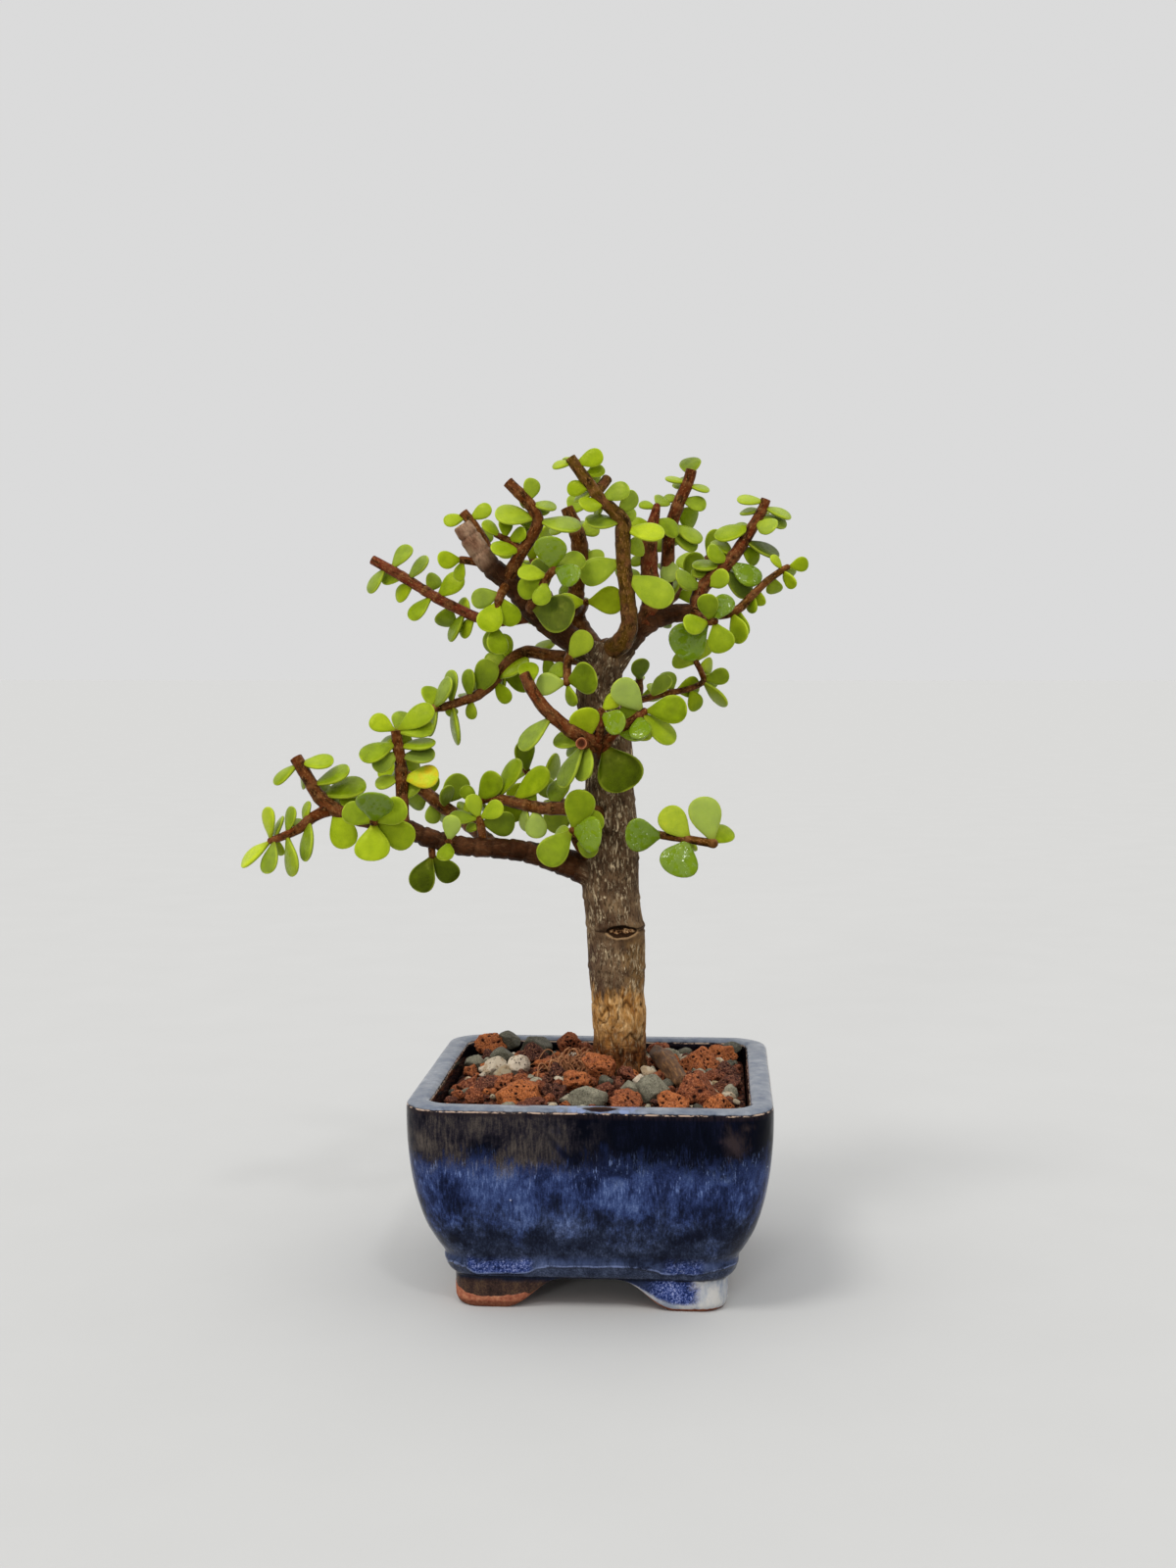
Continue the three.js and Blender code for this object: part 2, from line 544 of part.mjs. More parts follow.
// The largest body of a solid, without loose scraps or sealed hollows.
function mainBody(solid) {
  const merged = toSolid(toGeometry(solid));
  return merged.decompose().reduce((best, body) => (body.volume() > best.volume() ? body : best));
}

// A closed skin through rings of equal count, each running the same way round, with flat ends.
function loft(rings) {
  const count = rings[0].length;
  const positions = rings.flat().flatMap((point) => point.toArray());
  const index = [];
  for (let ring = 0; ring < rings.length - 1; ring += 1) {
    for (let i = 0; i < count; i += 1) {
      const a = ring * count + i;
      const b = ring * count + (i + 1) % count;
      index.push(a, b, b + count, a, b + count, a + count);
    }
  }
  const last = (rings.length - 1) * count;
  for (let i = 1; i < count - 1; i += 1) {
    index.push(0, i + 1, i);
    index.push(last, last + i, last + i + 1);
  }
  const geometry = new THREE.BufferGeometry();
  geometry.setAttribute("position", new THREE.Float32BufferAttribute(positions, 3));
  geometry.setIndex(index);
  return geometry;
}

// ---------------------------------------------------------------- stems

function stemCurve(route) {
  const points = route.map(([x, y, z]) => new THREE.Vector3(x, y, z));
  return new THREE.CatmullRomCurve3(points, false, "catmullrom", 0.5);
}

function onStem(stem, place) {
  const spans = stem.route.length - 1;
  return stemCurve(stem.route).getPoint(Math.min(place, spans) / spans);
}

// The point on the straight axis between two stations of a stem where a leaf takes root.
function rootIn(stem, place) {
  const spans = stem.route.length - 1;
  const held = THREE.MathUtils.clamp(place, ROOT_INSET, spans - ROOT_INSET);
  const [start, end] = stem.route.slice(Math.floor(held)).map(([x, y, z]) => new THREE.Vector3(x, y, z));
  return start.lerp(end, held - Math.floor(held));
}

function radiusAt(route, place) {
  const i = Math.min(Math.floor(place), route.length - 2);
  return THREE.MathUtils.lerp(route[i][3], route[i + 1][3], place - i);
}

// A tapered limb along its route, thicker by `grow` all round and at both ends.
function limb(route, sides, grow = 0) {
  const curve = stemCurve(route);
  const spans = route.length - 1;
  const rings = [];
  let across = null;
  for (let i = 0; i <= spans; i += 1) {
    const centre = curve.getPoint(i / spans);
    const along = curve.getTangent(i / spans);
    const reference = across ?? new THREE.Vector3().crossVectors(along, FRONT);
    across = reference.clone().addScaledVector(along, -reference.dot(along)).normalize();
    const up = new THREE.Vector3().crossVectors(along, across);
    const overrun = i === 0 ? -grow : i === spans ? grow : 0;
    centre.addScaledVector(along, overrun);
    const radius = route[i][3] + grow;
    rings.push(Array.from({ length: sides }, (_, side) => {
      const turn = (side / sides) * 2 * Math.PI;
      return centre.clone()
        .addScaledVector(across, radius * Math.cos(turn))
        .addScaledVector(up, radius * Math.sin(turn));
    }));
  }
  return toSolid(loft(rings));
}

// ---------------------------------------------------------------- leaves

// A repeatable run of numbers from 0 to 1.
function drawsFrom(seed) {
  let state = seed;
  return () => {
    state = (Math.imul(state, 1664525) + 1013904223) >>> 0;
    return state / 4294967296;
  };
}

function makeLeaf(base, direction, twist, length, width) {
  const d = direction.clone().normalize();
  const facing = FRONT.clone().addScaledVector(d, -FRONT.dot(d)).normalize();
  const beside = new THREE.Vector3().crossVectors(d, facing);
  const turn = THREE.MathUtils.degToRad(twist);
  const normal = facing.multiplyScalar(Math.cos(turn)).addScaledVector(beside, Math.sin(turn));
  const side = new THREE.Vector3().crossVectors(d, normal);
  return { base, d, normal, side, length, half: (length * width) / 2 };
}

function onLeaf(leaf, along, across, above) {
  return leaf.base.clone()
    .addScaledVector(leaf.d, leaf.length * along)
    .addScaledVector(leaf.side, leaf.half * across)
    .addScaledVector(leaf.normal, above - BLADE_ARCH * leaf.length * along * along);
}

function directionOf(angle, towards) {
  const a = THREE.MathUtils.degToRad(angle);
  const t = THREE.MathUtils.degToRad(THREE.MathUtils.clamp(towards, -75, 75));
  return new THREE.Vector3(Math.cos(a) * Math.cos(t), -Math.sin(t), Math.sin(a) * Math.cos(t));
}

function feelersOf(leaf) {
  return FEELERS.map(([along, across]) => onLeaf(leaf, along, across, 0));
}

// The leaves that a stem lists, as { place, angle, towards, length, twist, width }.
function listedLeaves(stem) {
  return stem.leaves.map(([place, angle, towards, length, twist, width = WIDTH]) => (
    { place, angle, towards, length, twist, width }
  ));
}

// Leaves on the far side of a stem, and crossed pairs along it, by rule.
function ruledLeaves(stem, seed) {
  const draw = drawsFrom(seed);
  const spans = stem.route.length - 1;
  const leaves = [];
  const [firstShaded, shadedStep, shadedSize] = stem.shaded ?? [Infinity];
  for (let place = firstShaded; place <= spans; place += shadedStep) {
    const angle = 360 * draw();
    const towards = -35 - 30 * draw();
    const length = shadedSize * (0.85 + 0.25 * draw());
    const twist = 50 * (draw() - 0.5);
    leaves.push({ place, angle, towards, length, twist, width: WIDTH });
  }
  const [firstPair, pairStep, pairSize, firstRoll] = stem.paired ?? [Infinity];
  let roll = firstRoll;
  for (let place = firstPair; place <= spans; place += pairStep) {
    const along = onStem(stem, place + 0.1).sub(onStem(stem, place - 0.1)).normalize();
    const across = new THREE.Vector3().crossVectors(along, UP).normalize();
    const above = new THREE.Vector3().crossVectors(across, along);
    for (const halfTurn of [0, 180]) {
      const turn = THREE.MathUtils.degToRad(roll + halfTurn + 24 * (draw() - 0.5));
      const spread = THREE.MathUtils.degToRad(50 + 20 * draw());
      const outward = along.clone().multiplyScalar(Math.cos(spread))
        .addScaledVector(across, Math.sin(spread) * Math.cos(turn))
        .addScaledVector(above, Math.sin(spread) * Math.sin(turn));
      const angle = THREE.MathUtils.radToDeg(Math.atan2(outward.z, outward.x));
      const towards = THREE.MathUtils.radToDeg(Math.asin(-outward.y));
      const length = pairSize * (0.8 + 0.3 * draw());
      const twist = 110 * (draw() - 0.5);
      leaves.push({ place, angle, towards, length, twist, width: WIDTH });
    }
    roll += 90;
  }
  return leaves;
}

// Points every few millimetres along a stem, with the radius there.
function spineOf(route) {
  const curve = stemCurve(route);
  const spans = route.length - 1;
  const spine = [];
  for (let place = 0; place <= spans + 1e-9; place += 0.25) {
    spine.push({ point: curve.getPoint(place / spans), radius: radiusAt(route, place) });
  }
  return spine;
}

// Places every leaf in turn, the listed ones first. A leaf that would touch a stem of another spray,
// or another leaf, leans to a clear place, and is left out where there is none.
function growLeaves() {
  const stems = Object.entries(SPRAYS).flatMap(([name, list]) => list.map((stem) => ({ name, stem })));
  const spines = WOOD.map((route) => ({ name: null, stem: null, spine: spineOf(route) }));
  spines.push(...stems.map(({ name, stem }) => ({ name, stem, spine: spineOf(stem.route) })));
  const wishes = [
    ...stems.map(({ name, stem }) => ({ name, stem, leaves: listedLeaves(stem) })),
    ...stems.map(({ name, stem }, i) => ({ name, stem, leaves: ruledLeaves(stem, i + 1) })),
  ];
  const grown = [];
  for (const { name, stem, leaves } of wishes) {
    for (const wish of leaves) {
      const leaf = clearLeaf(wish, name, stem, spines, grown);
      if (leaf) {
        grown.push({ name, leaf, root: rootIn(stem, wish.place), feelers: feelersOf(leaf) });
      }
    }
  }
  return grown;
}

function clearLeaf(wish, name, stem, spines, grown) {
  const base = onStem(stem, wish.place);
  for (const [angle, towards, share] of DODGES) {
    const direction = directionOf(wish.angle + angle, wish.towards + towards);
    const leaf = makeLeaf(base, direction, wish.twist, wish.length * share, wish.width);
    const feelers = feelersOf(leaf);
    const freeOfStems = spines.every((other) => {
      const room = other.name === name ? CLEAR_OF_SISTER_STEM : CLEAR_OF_WOOD;
      return other.stem === stem || other.spine.every(
        ({ point, radius }) => feelers.every((feeler) => feeler.distanceTo(point) >= radius + room),
      );
    });
    const freeOfLeaves = grown.every((other) => {
      const room = other.name === name ? CLEAR_WITHIN_SPRAY : CLEAR_OF_LEAVES;
      return other.feelers.every((point) => feelers.every((feeler) => feeler.distanceTo(point) >= room));
    });
    if (freeOfStems && freeOfLeaves) {
      return leaf;
    }
  }
  return null;
}

// A blade: flat above and keeled below, between its root in the stem and a rounded tip.
function bladeSolid(leaf, root) {
  const rings = BLADE.map(([along, width, thickness]) => [
    onLeaf(leaf, along, width, BLADE_RISE),
    onLeaf(leaf, along, 0, BLADE_RISE - BLADE_THICKNESS * thickness),
    onLeaf(leaf, along, -width, BLADE_RISE),
  ]);
  const positions = [root, ...rings.flat(), onLeaf(leaf, 1, 0, 0)];
  const sides = 3;
  const tip = positions.length - 1;
  const lastRing = tip - sides;
  const index = [];
  for (let i = 0; i < sides; i += 1) {
    const next = (i + 1) % sides;
    index.push(0, 1 + next, 1 + i);
    for (let ring = 1; ring < lastRing; ring += sides) {
      const a = ring + i;
      const b = ring + next;
      index.push(a, b, b + sides, a, b + sides, a + sides);
    }
    index.push(lastRing + i, lastRing + next, tip);
  }
  const geometry = new THREE.BufferGeometry();
  const numbers = positions.flatMap((point) => point.toArray());
  geometry.setAttribute("position", new THREE.Float32BufferAttribute(numbers, 3));
  geometry.setIndex(index);
  return toSolid(geometry);
}

// ---------------------------------------------------------------- pot and what fills it

function squareRing(z, half, corner, steps = 3) {
  const ring = [];
  for (let quarter = 0; quarter < 4; quarter += 1) {
    for (let i = 0; i <= steps; i += 1) {
      const turn = (quarter + i / steps) * (Math.PI / 2);
      const cx = (half - corner) * Math.sign(Math.cos((quarter + 0.5) * (Math.PI / 2)));
      const cy = (half - corner) * Math.sign(Math.sin((quarter + 0.5) * (Math.PI / 2)));
      ring.push(new THREE.Vector3(cx + corner * Math.cos(turn), cy + corner * Math.sin(turn), z));
    }
  }
  return ring;
}

function archSolid() {
  const { flat, foot, top, bend, ease } = POT.arch;
  const below = -2;
  const shape = new THREE.Shape();
  shape.moveTo(-foot + below, below);
  shape.lineTo(-foot, 0);
  shape.bezierCurveTo(-foot + bend, ease, -flat - bend, top, -flat, top);
  shape.lineTo(flat, top);
  shape.bezierCurveTo(flat + bend, top, foot - bend, ease, foot, 0);
  shape.lineTo(foot - below, below);
  const length = 100; // past both faces
  const extrusion = { depth: length, bevelEnabled: false, curveSegments: 5 };
  const geometry = new THREE.ExtrudeGeometry(shape, extrusion);
  geometry.translate(0, 0, -length / 2);
  geometry.rotateX(Math.PI / 2);
  return toSolid(geometry);
}

function potSolid() {
  const outside = toSolid(loft(POT.outside.map(([z, half, corner]) => squareRing(z, half, corner))));
  const inside = toSolid(loft(POT.inside.map(([z, half, corner]) => squareRing(z, half, corner))));
  const { half, corner, top } = POT.recess;
  const recess = toSolid(loft([squareRing(-1, half, corner), squareRing(top, half, corner)]));
  const drain = new THREE.CylinderGeometry(POT.drainRadius, POT.drainRadius, 20, 16);
  drain.rotateX(Math.PI / 2);
  drain.translate(0, 0, top);
  const arch = archSolid();
  return outside.subtract(inside).subtract(recess).subtract(toSolid(drain))
    .subtract(arch).subtract(arch.rotate([0, 0, 90]));
}

function meshPlateSolid() {
  const { half, thickness, holes, hole, pitch } = MESH_PLATE;
  let plate = toSolid(new THREE.BoxGeometry(2 * half, 2 * half, thickness));
  for (let row = 0; row < holes; row += 1) {
    for (let column = 0; column < holes; column += 1) {
      const opening = new THREE.BoxGeometry(hole, hole, 2 * thickness);
      opening.translate((column - (holes - 1) / 2) * pitch, (row - (holes - 1) / 2) * pitch, 0);
      plate = plate.subtract(toSolid(opening));
    }
  }
  return plate.translate([0, 0, SOIL.bottom + GAP + thickness / 2]);
}

// Height of the soil where the wall of the square round the axis that passes through the place lies.
function soilHeight(x, y) {
  const reach = Math.max(Math.abs(x), Math.abs(y));
  const rows = SOIL.surface;
  for (let i = 0; i < rows.length - 1; i += 1) {
    const [zOuter, outer] = rows[i];
    const [zInner, inner] = rows[i + 1];
    if (reach >= inner) {
      return THREE.MathUtils.lerp(zInner, zOuter, Math.min((reach - inner) / (outer - inner), 1));
    }
  }
  return rows[rows.length - 1][0];
}

// An angular pebble: an icosahedron pushed out of true, flattened and half buried.
function pebbleSolid(x, y, radius, raised, draw) {
  const geometry = mergeVertices(bareIcosahedron(radius));
  const corners = geometry.attributes.position;
  for (let i = 0; i < corners.count; i += 1) {
    const push = THREE.MathUtils.lerp(PEBBLE.pushIn, PEBBLE.pushOut, draw());
    corners.setXYZ(i, corners.getX(i) * push, corners.getY(i) * push, corners.getZ(i) * push);
  }
  geometry.rotateX(2 * Math.PI * draw());
  geometry.rotateZ(2 * Math.PI * draw());
  geometry.scale(1, THREE.MathUtils.lerp(PEBBLE.squeeze, 1, draw()), PEBBLE.flat);
  geometry.rotateZ(2 * Math.PI * draw());
  const reach = SOIL.edge - radius * PEBBLE.pushOut;
  const px = THREE.MathUtils.clamp(x, -reach, reach);
  const py = THREE.MathUtils.clamp(y, -reach, reach);
  geometry.translate(px, py, soilHeight(px, py) + PEBBLE.lift * radius + raised);
  return toSolid(geometry);
}

function bareIcosahedron(radius) {
  const geometry = new THREE.IcosahedronGeometry(radius, 0);
  geometry.deleteAttribute("normal");
  geometry.deleteAttribute("uv");
  return geometry;
}

function soilSolid(thickWood) {
  const sides = POT.inside
    .filter(([z]) => z < SOIL.surface[0][0])
    .map(([z, half, corner], i) => squareRing(i === 0 ? z + GAP : z, half - GAP, corner - GAP));
  const top = SOIL.surface.map(([z, half]) => squareRing(z, half, Math.min(6, half / 2)));
  const bed = toSolid(loft([...sides, ...top]));
  const draw = drawsFrom(PEBBLE.seed);
  const pebbles = STONES.map(([x, y, radius, raised]) => pebbleSolid(x, y, radius, raised, draw));
  const clearance = MESH_PLATE.half + GAP;
  const seat = new THREE.BoxGeometry(2 * clearance, 2 * clearance, 2 * (MESH_PLATE.thickness + 2 * GAP));
  seat.translate(0, 0, SOIL.bottom);
  const chip = limb(BARK_CHIP, STEM_SIDES);
  return mainBody(joined([bed, chip, ...pebbles]).subtract(thickWood).subtract(toSolid(seat)));
}

// ---------------------------------------------------------------- the whole tree

function meshOf(name, geometry, color, roughness) {
  const material = new THREE.MeshStandardMaterial({ color, roughness, metalness: 0 });
  const mesh = new THREE.Mesh(geometry, material);
  mesh.name = name;
  return mesh;
}

const group = new THREE.Group();
const thickWood = joined(WOOD.map((route) => limb(route, WOOD_SIDES, GAP)));
group.add(meshOf("pot", toGeometry(potSolid()), COLORS.glaze, 0.2));
group.add(meshOf("drainage_mesh", toGeometry(meshPlateSolid()), COLORS.mesh, 0.6));
group.add(meshOf("soil", toGeometry(soilSolid(thickWood)), COLORS.gravel, 0.9));
const wood = joined(WOOD.map((route) => limb(route, WOOD_SIDES)));
group.add(meshOf("wood", toGeometry(wood), COLORS.bark, 0.8));

const grown = growLeaves();
for (const [name, stems] of Object.entries(SPRAYS)) {
  const own = grown.filter((entry) => entry.name === name);
  const blades = own.map(({ leaf, root }) => bladeSolid(leaf, root));
  const stalks = stems.map((stem) => limb(stem.route, STEM_SIDES));
  const spray = mainBody(joined([...stalks, ...blades]).subtract(thickWood));
  group.add(meshOf(`spray_${name}`, toGeometry(spray), COLORS.leaf, 0.45));
}

const box = new THREE.Box3().setFromObject(group);
group.position.set(-(box.min.x + box.max.x) / 2, -(box.min.y + box.max.y) / 2, -box.min.z);

export default group;
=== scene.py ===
# Looks of the dwarf jade bonsai in its glazed pot.
# Lengths are in millimetres in the pot's own frame (pot round the Z axis, front towards -Y) and are
# turned into metres of the row frame where a mesh is made.

import functools
import math

import bmesh
import bpy
import numpy as np
from mathutils import Matrix, Vector, noise


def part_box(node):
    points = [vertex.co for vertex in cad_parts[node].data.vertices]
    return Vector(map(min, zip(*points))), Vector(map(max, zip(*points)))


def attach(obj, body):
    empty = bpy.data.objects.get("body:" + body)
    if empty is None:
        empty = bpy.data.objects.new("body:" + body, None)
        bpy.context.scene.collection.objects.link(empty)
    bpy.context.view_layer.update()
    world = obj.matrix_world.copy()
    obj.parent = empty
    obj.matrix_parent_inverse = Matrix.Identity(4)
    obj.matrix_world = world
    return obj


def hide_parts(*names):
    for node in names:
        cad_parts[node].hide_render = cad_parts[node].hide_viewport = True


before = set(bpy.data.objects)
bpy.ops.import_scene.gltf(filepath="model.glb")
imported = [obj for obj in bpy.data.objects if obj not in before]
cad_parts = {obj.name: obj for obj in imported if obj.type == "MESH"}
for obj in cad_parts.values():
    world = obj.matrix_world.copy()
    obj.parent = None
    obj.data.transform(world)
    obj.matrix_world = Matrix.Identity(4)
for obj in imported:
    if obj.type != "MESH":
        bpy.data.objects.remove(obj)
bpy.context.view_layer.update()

MM = 0.001
pot_low, pot_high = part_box("pot")
SHIFT = np.array([(pot_low.x + pot_high.x) / 2, (pot_low.y + pot_high.y) / 2, pot_low.z])
FRONT, UP = np.array([0.0, -1.0, 0.0]), np.array([0.0, 0.0, 1.0])


# ---------------------------------------------------------------- tables

def rows(text):
    """The rows of "1 2 a, 3 4 b" as lists of numbers and words."""
    return [[float(word) if word[-1].isdigit() else word for word in row.split()]
            for row in text.split(",") if row.strip()]


def read_sprays(text):
    """Blocks of "name tone: stem / stem", a stem being "stations; leaves; rules"."""
    sprays, tones = {}, {}
    for block in text.strip().split("\n\n"):
        heading, body = block.split(":")
        name, tone = heading.split()
        tones[name] = float(tone)
        sprays[name] = []
        for stem in body.split("/"):
            route, leaves, *rules = map(rows, stem.split(";"))
            ruled = {kind: numbers for rule in rules for kind, *numbers in rule}
            sprays[name].append({"route": route, "leaves": leaves, **ruled})
    return sprays, tones


# Woody axes: the trunk, the low limb to the left, the left limb that ends in a thick cut stub and the
# right limb. Each is a run of stations: x y z radius.
WOOD = [rows(axis) for axis in """
6 8 30 7.6, 6 8 47 9, 5.9 8 54 8.8, 5.9 8 60 7.9, 5.7 8 68 7.7, 5.6 8 74 8.1, 5.2 8 79 7.8, 4.9 8 86 8.3,
4.6 8 96 8.6, 3.8 8 104 8.3, 3.1 8 111 8.4, 3 8 119 8.5, 3 8 129 8, 2.7 8 139.5 7.2, 2.6 8 150 7,
1.3 8 160 6.7, -0.6 8 167 6.7, 0.5 8 175 6.2, 2 7 180 5.5, 2.4 7 182.5 4.6
/ 3 8 113.5 5.6, -8.4 5 118 4.2, -20 1 121.7 3.2, -29.6 -3 123.3 3, -39 -6 124.1 2.9, -48.6 -9 126.8 2.8,
-56 -11 130.3 2.6, -63.5 -12 131.4 2.4
/ 0.5 8 176 4.6, -6.4 5 182 4, -13.3 3 187 3.6, -19.2 2 192 3.4, -23.1 1 197 3.4, -27 0 201 3.3,
-30.9 -1 204.2 3.1, -34.7 -2 209.4 3.1, -39.1 -3 216.3 2.8
/ 3.5 8 177 4.4, 7.6 8 183 4, 12.7 8 187.8 3.4, 19.8 9 190.8 2.9, 26.9 10 191.3 2.6, 31 10 191.6 2.4
""".split("/")]

